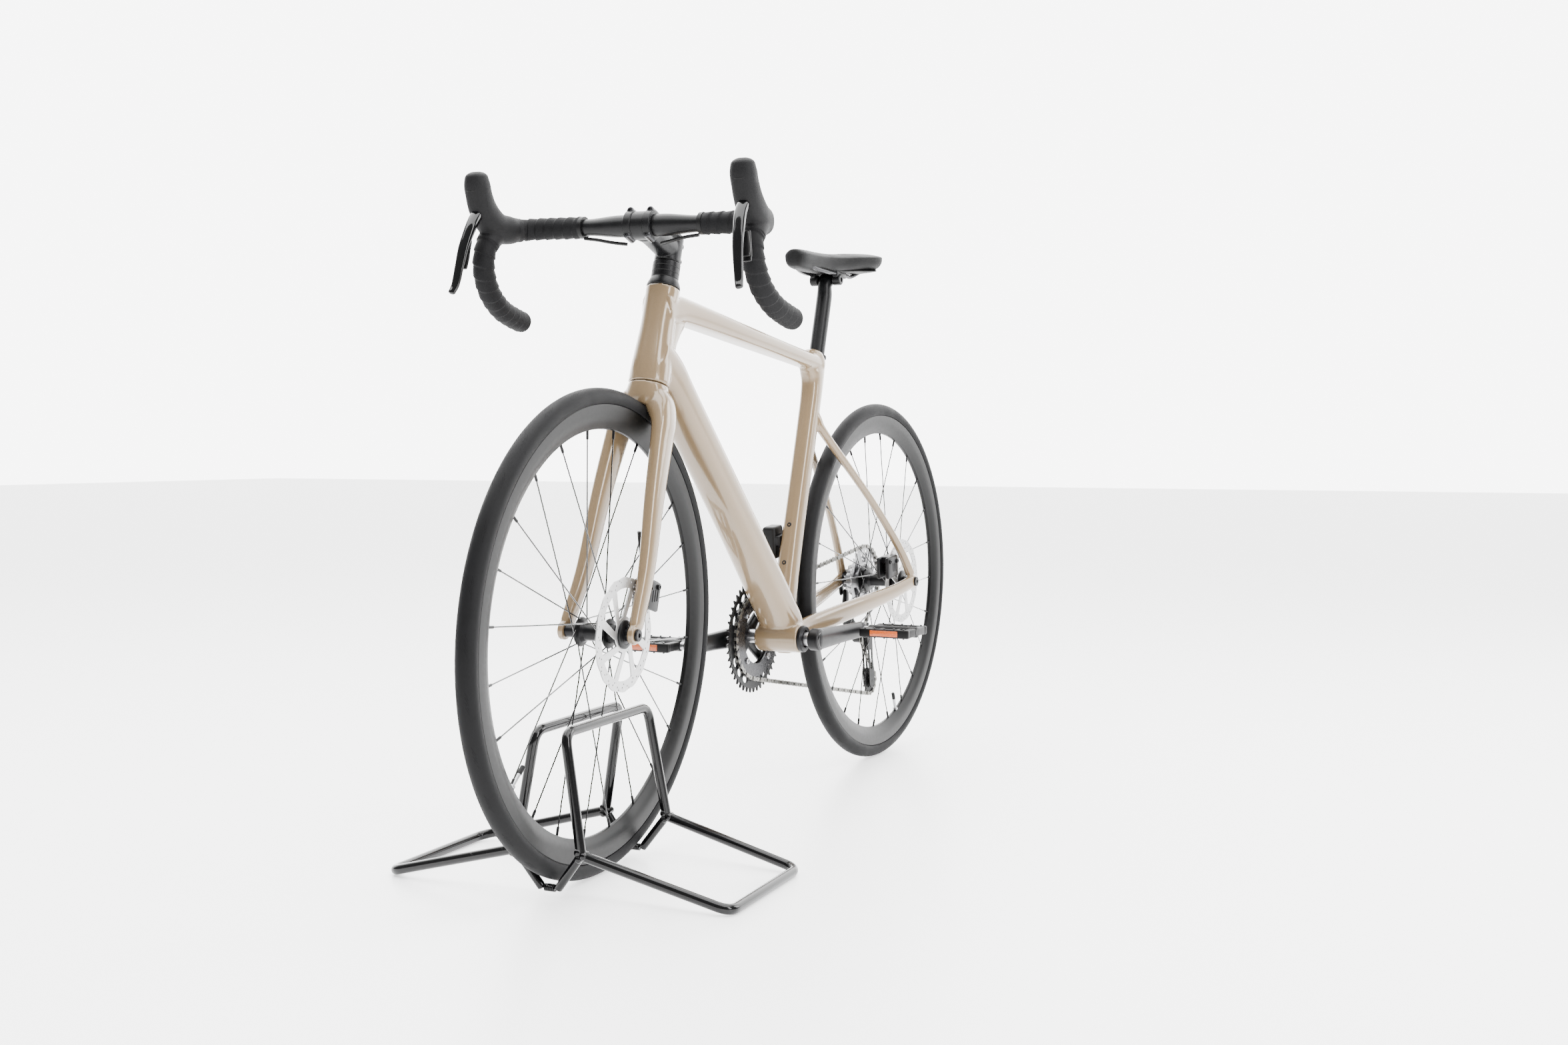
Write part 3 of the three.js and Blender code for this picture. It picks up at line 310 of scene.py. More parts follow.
def prism_faces(base, n):
    """Faces of a prism whose n lower and n upper points start at index base."""
    sides = [(base + k, base + n + k, base + n + (k + 1) % n, base + (k + 1) % n) for k in range(n)]
    return [tuple(range(base, base + n)), tuple(reversed(range(base + n, base + 2 * n))), *sides]


def turns(count):
    """Equal steps of one full turn."""
    return [tau * k / count for k in range(count)]


def skin(name, rings, closed=False, angle=40):
    """Quads between successive rings of points, with flat caps unless closed on itself."""
    count, size = len(rings), len(rings[0])
    faces = []
    for i in range(count if closed else count - 1):
        a, b = i * size, ((i + 1) % count) * size
        for k in range(size):
            n = (k + 1) % size
            faces.append((a + k, a + n, b + n, b + k))
    if not closed:
        faces.append(tuple(reversed(range(size))))
        faces.append(tuple((count - 1) * size + k for k in range(size)))
    return mesh_object(name, [p for ring in rings for p in ring], faces, angle)


def spline(points, per=8):
    """Catmull-Rom curve through rows of numbers, per steps a span."""
    first = [2 * a - b for a, b in zip(points[0], points[1])]
    last = [2 * a - b for a, b in zip(points[-1], points[-2])]
    rows = [first, *points, last]
    out = []
    for i in range(1, len(rows) - 2):
        for k in range(per):
            t = k / per
            out.append(tuple(
                0.5 * (2 * b + (c - a) * t + (2 * a - 5 * b + 4 * c - d) * t * t
                       + (3 * b - a - 3 * c + d) * t ** 3)
                for a, b, c, d in zip(*rows[i - 1:i + 3])))
    out.append(tuple(points[-1]))
    return out


def loft(name, stations, sides=28, across=ACROSS, per=6, power=2.0, dome=0.0, angle=50):
    """Limb through stations (x, y, z, radius, wide); dome rounds both ends, power squares the section."""
    rows = spline([(*s, 1)[:5] for s in stations], per)
    last = len(rows) - 1
    rings = []
    for i, (x, y, z, radius, wide) in enumerate(rows):
        along = (mm(*rows[min(i + 1, last)][:3]) - mm(*rows[max(i - 1, 0)][:3])).normalized()
        first = along.cross(across).normalized()
        second = first.cross(along)
        steps = [(0.0, 1.0)]
        if dome and i in (0, last):
            sign = -1 if i == 0 else 1
            arc = [pi / 2 * k / 5 for k in range(5)]
            steps = [(sign * sin(a) * dome, cos(a)) for a in arc]
            if i == 0:
                steps.reverse()
        for shift, scale in steps:
            centre = mm(x, y, z) + along * (shift * radius * MM)
            ring = []
            for a in turns(sides):
                u = copysign(abs(cos(a)) ** (2 / power), cos(a))
                w = copysign(abs(sin(a)) ** (2 / power), sin(a))
                ring.append(centre + (first * u + second * (w * wide)) * (radius * scale * MM))
            rings.append(ring)
    return skin(name, rings, angle=angle)


def sweep(name, points, radius, sides=14, closed=False, angle=50):
    """Round rod along millimetre points; radius is a number or a function of length run and angle."""
    path = [mm(*p[:3]) for p in points]
    count = len(path)
    rings = []
    run = 0.0
    side = None
    for i, point in enumerate(path):
        ahead = path[(i + 1) % count] if closed or i < count - 1 else point
        behind = path[i - 1] if closed or i > 0 else point
        along = (ahead - behind).normalized()
        if side is None:
            side = along.orthogonal().normalized()
        side = (side - along * side.dot(along)).normalized()
        other = along.cross(side)
        if i:
            run += (point - path[i - 1]).length / MM
        ring = []
        for a in turns(sides):
            r = radius(run, a) if callable(radius) else radius
            ring.append(point + (side * cos(a) + other * sin(a)) * (r * MM))
        rings.append(ring)
    return skin(name, rings, closed, angle)


def lathe(name, profile, centre, segments=96, angle=35):
    """Solid turned about the Y-parallel axis through centre; profile is a closed list of (radius, y)."""
    rings = []
    for a in turns(segments):
        rings.append([mm(centre[0] + r * sin(a), y, centre[2] + r * cos(a)) for r, y in profile])
    return skin(name, rings, closed=True, angle=angle)


def plate(name, outlines, y, thick, bevel=0.15, centre=(0, 0, 0)):
    """Flat plate normal to Y from closed outlines of (x, z); inner outlines are holes."""
    data = bpy.data.curves.new(name, "CURVE")
    data.dimensions = "2D"
    data.fill_mode = "BOTH"
    data.extrude = (thick / 2 - bevel) * MM
    data.bevel_depth = bevel * MM
    data.bevel_resolution = 0
    for outline in outlines:
        line = data.splines.new("POLY")
        line.points.add(len(outline) - 1)
        line.use_cyclic_u = True
        for point, (x, z) in zip(line.points, outline):
            point.co = (x * MM, z * MM, 0, 1)
    flat = linked(name, data)
    bpy.context.view_layer.update()
    mesh = bpy.data.meshes.new_from_object(flat.evaluated_get(bpy.context.evaluated_depsgraph_get()))
    bpy.data.objects.remove(flat)
    mesh.transform(Matrix(((1, 0, 0, centre[0] * MM), (0, 0, -1, y * MM), (0, 1, 0, centre[2] * MM),
                           (0, 0, 0, 1))))
    weld(mesh, 1e-6)
    return shade(linked(name, mesh), 30)


def block(name, size, centre, turn=0.0, bevel=1.5, steps=3):
    """Box with rounded edges, turned about Y."""
    shell = bmesh.new()
    bmesh.ops.create_cube(shell, size=1)
    bmesh.ops.scale(shell, vec=[s * MM for s in size], verts=shell.verts)
    bmesh.ops.bevel(shell, geom=shell.edges[:], offset=bevel * MM, segments=steps, profile=0.5,
                    affect="EDGES")
    bmesh.ops.rotate(shell, cent=(0, 0, 0), matrix=Matrix.Rotation(turn, 3, "Y"), verts=shell.verts)
    bmesh.ops.translate(shell, vec=mm(*centre), verts=shell.verts)
    return from_shell(name, shell, 30)


def pin(name, a, b, radius, sides=24, bevel=0.6, socket=0.0):
    """Round pin with chamfered ends and, if asked, a hexagonal socket in its far end."""
    start, end = mm(*a), mm(*b)
    along = (end - start).normalized()
    side = along.orthogonal().normalized()
    other = along.cross(side)
    reach = (end - start).length / MM
    rows = [(0, radius - bevel), (bevel, radius), (reach - bevel, radius), (reach, radius - bevel)]
    if socket:
        rows += [(reach, socket), (reach - 1.6, socket), (reach - 1.6, 0.01)]
    rings = []
    for place, r in rows:
        ring = []
        for a in turns(sides):
            ring.append(start + along * (place * MM) + (side * cos(a) + other * sin(a)) * (r * MM))
        rings.append(ring)
    return skin(name, rings, angle=30)


def peg(name, at, y0, y1, *shape):
    """Pin parallel to Y between two distances from the plane of symmetry."""
    return pin(name, (at[0], y0, at[2]), (at[0], y1, at[2]), *shape)


def joined(name, pieces):
    """All pieces as one object."""
    shell = bmesh.new()
    for piece in pieces:
        shell.from_mesh(piece.data)
        bpy.data.objects.remove(piece)
    return from_shell(name, shell, 35)


def fused(name, pieces, voxel, smoothing):
    """Pieces melted into one moulded shell with blended joints."""
    whole = joined(name, pieces)
    melt = whole.modifiers.new("melt", "REMESH")
    melt.mode = "VOXEL"
    melt.voxel_size = voxel * MM
    ease = whole.modifiers.new("ease", "SMOOTH")
    ease.factor = 0.5
    ease.iterations = smoothing
    bpy.context.view_layer.update()
    mesh = bpy.data.meshes.new_from_object(whole.evaluated_get(bpy.context.evaluated_depsgraph_get()))
    whole.modifiers.clear()
    whole.data = mesh
    return shade(whole, 60)


def put(obj, body, slot, look, *nodes):
    """Gives a piece its finish and its body, and hides the CAD nodes that it stands for.

    Pieces that steer are made straight ahead and turned here.
    """
    if body.startswith(STEERED_BODIES):
        obj.data.transform(STEERED)
    obj.data.materials.clear()
    obj.data.materials.append(look)
    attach(obj, body)
    if nodes:
        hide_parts(*nodes)
    return obj


def alloy(obj, body, *nodes):
    return put(obj, body, "black_alloy", BLACK, *nodes)


def circle(radius, count=96, x=0.0, z=0.0):
    return [(x + radius * cos(a), z + radius * sin(a)) for a in turns(count)]


def pitch_radius(count):
    return PITCH / (2 * sin(pi / count))


def teeth(count, tip=3.4, root=3.9):
    """Outline of a toothed wheel for the chain."""
    reach = pitch_radius(count)
    outline = []
    step = tau / count
    for k in range(count):
        for turn, r in ((-0.26, -root), (0, -root), (0.26, -root), (0.36, 0), (0.45, tip), (0.55, tip),
                        (0.64, 0)):
            a = (k + turn) * step
            outline.append(((reach + r) * cos(a), (reach + r) * sin(a)))
    return outline


# ------------------------------------------------------------------ wheels


def tyre(side, axle):
    centre = TYRE_RADIUS - TYRE_HALF
    outer = []
    for k in range(33):
        a = radians(-32 + 244 * k / 32)
        outer.append((centre + TYRE_HALF * sin(a), TYRE_HALF * cos(a)))
    bead, lip = RIM_OUTER - 5, RIM_OUTER + 0.4
    profile = [(bead, 9.4), (lip, 9.4), *outer, (lip, -9.4), (bead, -9.4)]
    return lathe(f"{side}_tyre_casing", profile, axle, 160, 50)


def tread(side, axle):
    """Small slanted cuts along both shoulders, in groups of four."""
    centre = TYRE_RADIUS - TYRE_HALF
    vertices, faces = [], []
    for edge in (-1, 1):
        for group in range(TREAD_GROUPS):
            for k in range(4):
                turn = tau * group / TREAD_GROUPS + k * 0.018
                corners = []
                for lean, wide in ((0.0, 0.0), (0.0, 0.0042), (0.03, 0.0042), (0.03, 0.0)):
                    around = turn + lean * edge + wide
                    tilt = radians(90 - edge * (22 + 500 * lean))
                    r = centre + (TYRE_HALF + TREAD_LIFT) * sin(tilt)
                    y = (TYRE_HALF + TREAD_LIFT) * cos(tilt)
                    corners.append((r, y, around))
                base = len(vertices)
                for sink in (0.0, 0.5):
                    for r, y, around in corners:
                        low = r - sink
                        vertices.append(mm(axle[0] + low * sin(around), y * (1 - sink * 0.03),
                                           axle[2] + low * cos(around)))
                faces += prism_faces(base, 4)
    return mesh_object(f"{side}_tread_cuts", vertices, faces)


def rim(side, axle):
    inner = [(RIM_INNER + 1.5 - 1.5 * cos(a), 3.6 * sin(a)) for a in
             [radians(-90 + 22.5 * k) for k in range(9)]]
    right = [(p, -y) for p, y in ((RIM_INNER + 7, 6.6), (RIM_INNER + 14, 9.6), (RIM_INNER + 22, 11.2))]
    left = [(p, -y) for p, y in reversed(right)]
    hook = [(RIM_OUTER - r, y - RIM_HALF) for r, y in ((1, 0), (0, 0.6), (0, 1.4), (6, 2))]
    back = [(r, -y) for r, y in reversed(hook)]
    profile = [*right, *hook, *back, *left, *[(r, -y) for r, y in inner]]
    return lathe(f"{side}_rim_shell", profile, axle, 160, 32)


def spoke_set(side, axle, flanges, phase):
    """Thin crossed spokes with a nipple at the rim."""
    crossing = radians(54)
    wires, nipples = [], []
    for k in range(SPOKES):
        y, radius = flanges[k % 2]
        lead = 1 if (k // 2) % 2 == 0 else -1
        outer = phase + tau * k / SPOKES
        inner = outer + lead * crossing
        a = (axle[0] + radius * cos(inner), y + 1.2 * lead, axle[2] + radius * sin(inner))
        b = (axle[0] + (RIM_INNER + 1) * cos(outer), 0, axle[2] + (RIM_INNER + 1) * sin(outer))
        wires.append(pin("wire", a, b, 0.95, 8, 0.1))
        way = Vector(b) - Vector(a)
        start = Vector(b) - way.normalized() * 13
        nipples.append(pin("nipple", tuple(start), b, 1.9, 8, 0.5))
    return joined(f"{side}_spokes", wires), joined(f"{side}_nipples", nipples)


def hub(side, axle, half, left, right, rotor_y, freehub):
    (left_y, left_r), (right_y, right_r) = left, right
    profile = [(6.4, -half), (9, -half)]
    if freehub:
        profile += [(9, -66), (17.2, -66), (17.2, -21.5), (12, -21.5)]
    profile += [
        (9, right_y - 6), (12, right_y - 5), (13, right_y - 3), (right_r + 2, right_y - 1.8),
        (right_r + 3, right_y), (right_r + 2, right_y + 1.8), (15, right_y + 4), (12, right_y + 9),
        (12, left_y - 9), (15, left_y - 4), (left_r + 2, left_y - 1.8), (left_r + 3, left_y),
        (left_r + 2, left_y + 1.8), (14, left_y + 3), (14, rotor_y + 4), (12, rotor_y + 5),
        (9, rotor_y + 5), (9, half), (6.4, half),
    ]
    return lathe(f"{side}_hub_shell", profile, axle, 48, 30)


def rotor(side, axle, y):
    """Drilled braking band on curved arms."""
    outer = [(r * cos(a), r * sin(a)) for a, r in [(a, ROTOR_RADIUS - 0.7 + 0.7 * cos(16 * a))
                                                   for a in turns(192)]]
    outlines = [outer, circle(15, 32)]
    arms = 8
    for k in range(arms):
        window = []
        step = tau / arms
        for j in range(9):
            a = k * step + 0.09 + (step - 0.18) * j / 8 + 0.34
            window.append((64.5 * cos(a), 64.5 * sin(a)))
        for j in range(7):
            a = k * step + step - 0.2 - (step - 0.4) * j / 6
            window.append((25 * cos(a), 25 * sin(a)))
        outlines.append(window)
    for k in range(32):
        a = tau * k / 32
        for r, lead in ((69, 0.0), (73.2, 0.055), (76.6, 0.0))[k % 2:2 + k % 2]:
            outlines.append(circle(1.5, 10, r * cos(a + lead), r * sin(a + lead)))
    return plate(f"{side}_rotor_disc", outlines, y, 1.8, 0.1, axle)


def valve(side, axle, turn):
    """Bare valve stem with its lock nut and cap."""
    def at(r):
        return (axle[0] + r * sin(turn), 0, axle[2] + r * cos(turn))
    stem = pin("stem", at(RIM_INNER + 2), at(RIM_INNER - 24), 2.8, 16, 0.3)
    nut = pin("nut", at(RIM_INNER + 1), at(RIM_INNER - 3), 5, 6, 0.5)
    tip = pin(f"{side}_valve_cap", at(RIM_INNER - 22), at(RIM_INNER - 36), 3.4, 12, 0.8)
    return joined(f"{side}_valve", [stem, nut]), tip


def wheel(side, axle, half, left, right, rotor_y, freehub, phase, valve_turn):
    body = f"{side}_wheel"
    put(tyre(side, axle), body, "tyre", TYRE, f"{side}_tyre")
    put(tread(side, axle), body, "tyre", TREAD)
    put(rim(side, axle), body, "rim", RIM, f"{side}_rim")
    put(hub(side, axle, half, left, right, rotor_y, freehub), body, "hub", BLACK, f"{side}_hub_and_spokes")
    wires, nipples = spoke_set(side, axle, (left, right), phase)
    put(wires, body, "hub", GLOSS)
    put(nipples, body, "hub", BLACK)
    put(rotor(side, axle, rotor_y), body, "rotor", ROTOR, f"{side}_rotor")
    ring = lathe(f"{side}_rotor_lockring", [(r, rotor_y + y) for r, y in (
        (14.2, 0.9), (20, 0.9), (20, 3), (17, 4.4), (14.2, 4.4))], axle, 40)
    put(ring, body, "hub", BLACK)
    spider = lathe(f"{side}_rotor_carrier", [(r, rotor_y - y) for r, y in (
        (14.2, 1.9), (26, 1.9), (26, 0.9), (14.2, 0.9))], axle, 40)
    put(spider, body, "hub", BLACK)
    stem, cap = valve(side, axle, valve_turn)
    put(stem, body, "steel", STEEL)
    put(cap, body, "black_plastic", PLASTIC)


# ------------------------------------------------------------------ fork, stem and handlebar

BLADE = ((357, 13, 668, 22, 0.9), (362, 24, 654, 25, 0.8), (371, 33.5, 632, 25, 0.62),
         (385, 37.5, 600, 23, 0.56), (416, 43, 522, 19.5, 0.6), (448, 49, 425, 16, 0.62),
         (486, 54, 352, 13, 0.64))


def fork():
    rows = ((338, 24, 1.3), (350, 28.5, 1.2), (362, 29.5, 1.08), (HEAD_BOTTOM - 1.0, 29.5, 1.0))
    crown = [(*on_steer(h), r, w) for h, r, w in rows]
    pieces = [loft("crown", crown, 40, per=3)]
    for _, s in SIDES:
        pieces.append(loft("blade", [(x, s * y, z, r, w) for x, y, z, r, w in BLADE], 36, dome=0.8,
                           power=2.4))
        pieces.append(peg("tip", FRONT_AXLE, s * 50.2, s * 59.6, 13.4, 32, 0.8))
    shell = fused("fork_shell", pieces, 1.5, 6)
    put(shell, "front_end", "paint", PAINT, "fork")
    alloy(peg("fork_axle_head", FRONT_AXLE, 59.6, 63.8, 8.6, 32, 0.7, 3.2), "front_end", "front_thru_axle")
    alloy(peg("fork_axle_end", FRONT_AXLE, -59.0, -60.2, 7, 24, 0.3, 4.5), "front_end")


def turned_on_steer(name, rows, segments=56):
    """Solid turned about the steering axis from (height, radius) rows."""
    rings = []
    for height, radius in rows:
        centre = Vector(on_steer(height))
        rings.append([
            mm(*(centre + (AHEAD * cos(a) + ACROSS * sin(a)) * radius))
            for a in turns(segments)])
    return skin(name, rings, angle=32)


def headset():
    t = HEAD_TOP
    rows = [(t + 0.4, 24.2), (t + 1.2, 25), (t + 4, 24.8), (t + 10, 22.5), (t + 14, 20.8), (t + 14.4, 20.2)]
    for k in range(3):
        low = t + 14.4 + k * 8.4
        rows += [(low + 0.2, 20.0), (low + 0.9, 20.6), (low + 7.5, 20.6), (low + 8.2, 20.0)]
    alloy(turned_on_steer("spacer_stack", rows), "front_end", "headset_spacers")
    cap = [(STEM_TOP + 0.4, 16.6), (STEM_TOP + 3, 16.6), (STEM_TOP + 4.2, 15.2), (STEM_TOP + 4.2, 5),
           (STEM_TOP + 2.6, 4.6), (STEM_TOP + 2.6, 0.01)]
    alloy(turned_on_steer("top_cap", cap), "front_end", "stem_top_cap")


def stem():
    middle = (STEM_BOTTOM + STEM_TOP) / 2
    clamp = turned_on_steer("clamp", [(STEM_BOTTOM + 0.2, 18.6), (STEM_BOTTOM + 1.5, 19.6),
                                      (STEM_TOP - 1.5, 19.6), (STEM_TOP - 0.2, 18.6)])
    along = ((6, 17.5, 1.05), (35, 17, 1.0), (62, 16.5, 1.05), (STEM_LENGTH - 12, 19, 1.1))
    beam = loft("beam", [(*on_steer(middle, d), r, w) for d, r, w in along], 36, power=2.4)
    mouth = pin("mouth", on_bar(0, -22, 0), on_bar(0, 22, 0), 20.5, 48, 1.2)
    body = fused("stem_body", [clamp, beam, mouth], 1.1, 5)
    alloy(body, "front_end", "stem")
    bands = [pin("band", on_bar(0.6, y - 6, 0.2), on_bar(0.6, y + 6, 0.2), 21.4, 56, 1.0)
             for y in (-15.5, 15.5)]
    bands.append(pin("web", on_bar(0.6, -12, 0.2), on_bar(0.6, 12, 0.2), 18.4, 56, 0.6))
    plate_shell = joined("faceplate_shell", bands)
    for vertex in plate_shell.data.vertices:
        ahead = (vertex.co - mm(*BAR)).dot(AHEAD)
        if ahead < 0.0006:
            vertex.co += AHEAD * (0.0006 - ahead)
    alloy(plate_shell, "front_end", "stem_faceplate")
    bolts = []
    for y in (-16, 16):
        for h in (-18.5, 18.5):
            start = Vector(on_steer(middle + h, STEM_LENGTH - 8, y))
            bolts.append(pin("lug", tuple(start), tuple(start + AHEAD * 22), 5.4, 20, 1.2, 2.4))
    for h in (-12, 12):
        low = Vector(on_steer(middle + h, -17, -13))
        bolts.append(pin("pinch", tuple(low), tuple(low + ACROSS * 26), 4.4, 18, 0.8, 2.2))
    put(joined("stem_bolts", bolts), "front_end", "black_alloy", RUST)


BEND = ((0, 0, 0), (0, 60, 0), (0, 120, 0), (1, 160, 0), (12, 188, -2), (38, 203, -7), (64, 207, -15),
        (82, 209, -36), (82, 212, -66), (62, 215, -97), (28, 218, -118), (-8, 220, -128), (-36, 221, -133))


def bend_points(s, start, end, per=14):
    """Millimetre points along one half of the bar between two fractions of its length."""
    rows = spline([on_bar(x, s * y, z) for x, y, z in BEND], per)
    lengths = [0.0]
    for a, b in zip(rows, rows[1:]):
        lengths.append(lengths[-1] + dist(a, b))
    total = lengths[-1]
    return [row for row, run in zip(rows, lengths) if start * total <= run <= end * total]


def wrapped(run, angle, radius=15.2, pitch=16.0, step=1.7):
    """Radius of tape wound round the bar, each turn lapping the last one."""
    turn = (run / pitch + angle / tau) % 1.0
    return radius + step * (turn if turn < 0.9 else (1 - turn) * 9) - 0.3


def handlebar():
    right = bend_points(-1, 0, 1)
    left = bend_points(1, 0, 1)
    route = list(reversed(left)) + right[1:]
    middle = sum(dist(a, b) for a, b in zip(left, left[1:]))

    def thickness(run, _):
        off = abs(run - middle)
        ease = min(1, max(0, (off - 34) / 55))
        return 15.9 - 3.9 * (3 * ease ** 2 - 2 * ease ** 3)

    alloy(sweep("handlebar_bend", route, thickness, 24), "front_end", "handlebar")
    for side, s in SIDES:
        top = sweep(f"wrap_top_{side}", bend_points(s, 0.215, 0.44, 40), wrapped, 40)
        put(top, "front_end", "tape", TAPE, f"bar_tape_top_{side}")
        drop = sweep(f"wrap_drop_{side}", bend_points(s, 0.585, 0.995, 40), wrapped, 40)
        put(drop, "front_end", "tape", TAPE, f"bar_tape_drop_{side}")
        start, end = bend_points(s, 0.203, 0.222, 40), bend_points(s, 0.985, 1.0, 40)
        put(sweep(f"tape_finish_{side}", start, 15.9, 32), "front_end", "tape", PLASTIC)
        last, before = Vector(end[-1]), Vector(end[0])
        way = (last - before).normalized()
        plug = pin(f"bar_plug_{side}", tuple(last - way * 2), tuple(last + way * 3.4), 15.2, 32, 2.0)
        put(plug, "front_end", "black_plastic", PLASTIC)


# ------------------------------------------------------------------ brake and shift levers

LEVER = ((97, 207, 16, 6.5, 1.2), (108, 207.5, 8, 7.5, 1.15), (119, 208, -6, 7, 1.2),
         (128, 210, -24, 5.6, 1.45), (135, 212, -42, 4.6, 1.7), (140, 214.5, -66, 3.9, 1.8),
         (144, 218, -92, 3.9, 1.6), (149, 221, -104, 3.6, 1.5))
HOOD_LINE = ((22, 197, -3, 17.5, 0.9), (38, 201, -5, 20.5, 0.95), (60, 205, -4, 21.5, 0.92),
             (80, 206.5, 6, 21.5, 0.9), (95, 207, 21, 20.5, 0.9), (104, 206.8, 37, 18.5, 0.98),
             (109, 206.5, 50, 17.5, 1.04), (111, 206.5, 60, 15.5, 1.06))


def levers():
    for side, s in SIDES:
        hood = loft("hood_form", [(*on_bar(x, s * y, z), r, w) for x, y, z, r, w in HOOD_LINE], 36,
                    power=2.3, dome=0.6)
        cuff = sweep("cuff", bend_points(s, 0.43, 0.60, 12), 17.2, 32)
        shell = fused(f"hood_shell_{side}", [hood, cuff], 1.3, 4)
        put(shell, "front_end", "hood_rubber", HOOD, f"hood_{side}")
        crest = loft(f"hood_seam_{side}", [(*on_bar(x, s * y, z), r, 0.98) for x, y, z, r in
                     ((107.6, 206.6, 45.6, 18.5), (108.1, 206.6, 46.8, 18.4))], 40, per=1)
        put(crest, "front_end", "hood_rubber", PLASTIC)
        blade = loft(f"lever_blade_{side}", [(*on_bar(x, s * y, z), r, w) for x, y, z, r, w in LEVER], 24,
                     power=2.6, dome=0.8, per=8)
        put(blade, f"brake_lever_{side}", "lever", GLOSS, f"brake_lever_{side}")
        pivot = pin(f"lever_pivot_{side}", on_bar(99, s * 207 - 13, 14), on_bar(99, s * 207 + 13, 14), 3.2,
                    20, 0.5, 1.6)
        put(pivot, f"brake_lever_{side}", "steel", RUST)
        for which, back, low, high in (("front", 10.5, -62, -30), ("rear", 15.5, -68, -28)):
            shape = [(*on_bar(138 - back, s * 220, low), 2.5, 2.4),
                     (*on_bar(135 - back, s * 219, low + 12), 2.5, 2.5),
                     (*on_bar(129 - back, s * 216, high), 2.2, 1.9)]
            paddle = loft(f"paddle_{which}_{side}", shape, 20, power=3, dome=0.5)
            name = f"shift_paddle_{which}_{side}"
            put(paddle, name, "black_plastic", PLASTIC, name)


# ------------------------------------------------------------------ brakes and hoses


def caliper(name, centre, size, lean, bolt_y):
    """Rounded two-part caliper with fins and bolts."""
    x, y, z = centre
    wide, deep, high = size
    pieces = []
    for s in (-1, 1):
        middle = (x, y + s * (deep / 4 + 2.7), z)
        pieces.append(block("half", (wide, deep / 2 - 5.4, high), middle, lean, 3.2))
    pieces.append(block("bridge", (wide * 0.72, deep - 2, high * 0.3), (x - wide * 0.1, y, z + high * 0.36),
                        lean, 2.4))
    for k in range(3):
        pieces.append(block("fin", (3, deep + 1.5, high * 0.42),
                            (x - wide * 0.28 + 7 * k, y, z - high * 0.02), lean, 0.8))
    for s in (-1, 1):
        bx, bz = x + s * wide * 0.33, z + high * 0.26
        pieces.append(peg("bolt", (bx, 0, bz), y + bolt_y - 3, y + bolt_y, 4, 18, 0.6, 2))
    return joined(name, pieces)


def hose(name, points, node):
    """Visible run of brake hose."""
    route = spline(points, 8)
    run = sweep(name, route, HOSE_RADIUS)
    put(run, "front_end", "hose", HOSE, node)


def brakes():
    front = caliper("front_caliper_body", (429, 39.5, 388), (38, 25, 42), -0.28, 15.4)
    alloy(front, "front_end", "front_caliper")
    rear = caliper("rear_caliper_body", (-424, 52, 371), (48, 25, 40), 0.1, 15.2)
    alloy(rear, "bicycle_frame", "rear_caliper")
    for body, y, x, z in (("front_pad", 39.5, 440.5, 377.5), ("rear_pad", 52, -433, 366)):
        for which, s in (("inner", -1), ("outer", 1)):
            lining = block("lining", (16, 1.6, 19), (x, y + s * 2.7, z), 0, 0.4)
            backing = block("backing", (17, 1.3, 20), (x, y + s * 4.2, z), 0, 0.3)
            key = f"{body}_{which}"
            put(joined(f"{key}_set", [lining, backing]), key, "steel", RUST, key)
    nut = pin("hose_nut", (426.5, 34, 421), (425, 36, 409), 4.2, 6, 0.6)
    alloy(nut, "front_end")
    hose("fork_hose", [(436, 30, 478), (431, 29, 462), (427, 30, 440), (427, 33, 424), (425, 36, 411)],
         "front_brake_hose")
    for side, s in SIDES:
        points = [on_bar(3, s * 92, -16.2), on_bar(4, s * 70, -19), on_bar(2, s * 48, -23),
                  on_bar(-8, s * 27.5, -25)]
        hose(f"bar_hose_line_{side}", points, f"bar_hose_{side}")


# ------------------------------------------------------------------ frame

SEAT_STAY = ((-192, 5, 664, 10, 0.9), (-200, 11, 642, 11, 0.85), (-218, 19, 616, 8.6, 0.9),
             (-354, 44, 504, 7.6, 0.95), (-445, 63, 413, 7.8, 1), (-490, 72, 354, 9, 1))
CHAIN_STAY = ((-86, 22, 274, 21, 0.66), (-150, 27, 287, 19, 0.52), (-300, 50, 308, 17, 0.5),
              (-412, 65, 323, 14, 0.56), (-490, 74, 338, 12.5, 0.6))
TOP_TUBE = ((330, 0, 797, 27, 0.95), (300, 0, 799, 24, 1.0), (250, 0, 798, 19.5, 1.2),
            (60, 0, 775, 16, 1.45), (-140, 0, 751, 14, 1.4), (-214, 0, 743, 14.5, 1.2))
DOWN_TUBE = ((350, 0, 732, 29, 0.98), (310, 0, 705, 29, 1.0), (270, 0, 664, 26.5, 1.15),
             (100, 0, 491, 26, 1.22), (-60, 0, 322, 26.5, 1.34), (-82, 0, 290, 26, 1.4))
SEAT_TUBE = ((272, 0, 21, 1.3), (330, 0, 20, 1.0), (450, 0, 19.5, 0.86), (640, 0, 19.5, 0.86),
             (690, 1, 20.5, 0.84), (714, 4, 24, 0.72), (730, 9, 30, 0.58), (740, 12, 33, 0.5),
             (752, 0, 18.5, 0.92))
HEAD_TUBE = ((HEAD_BOTTOM, 30, 1.02), (HEAD_BOTTOM + 30, 30, 0.98), (HEAD_BOTTOM + 85, 26.5, 0.94),
             (HEAD_TOP - 20, 25.5, 0.97), (HEAD_TOP, 25.4, 1.0))


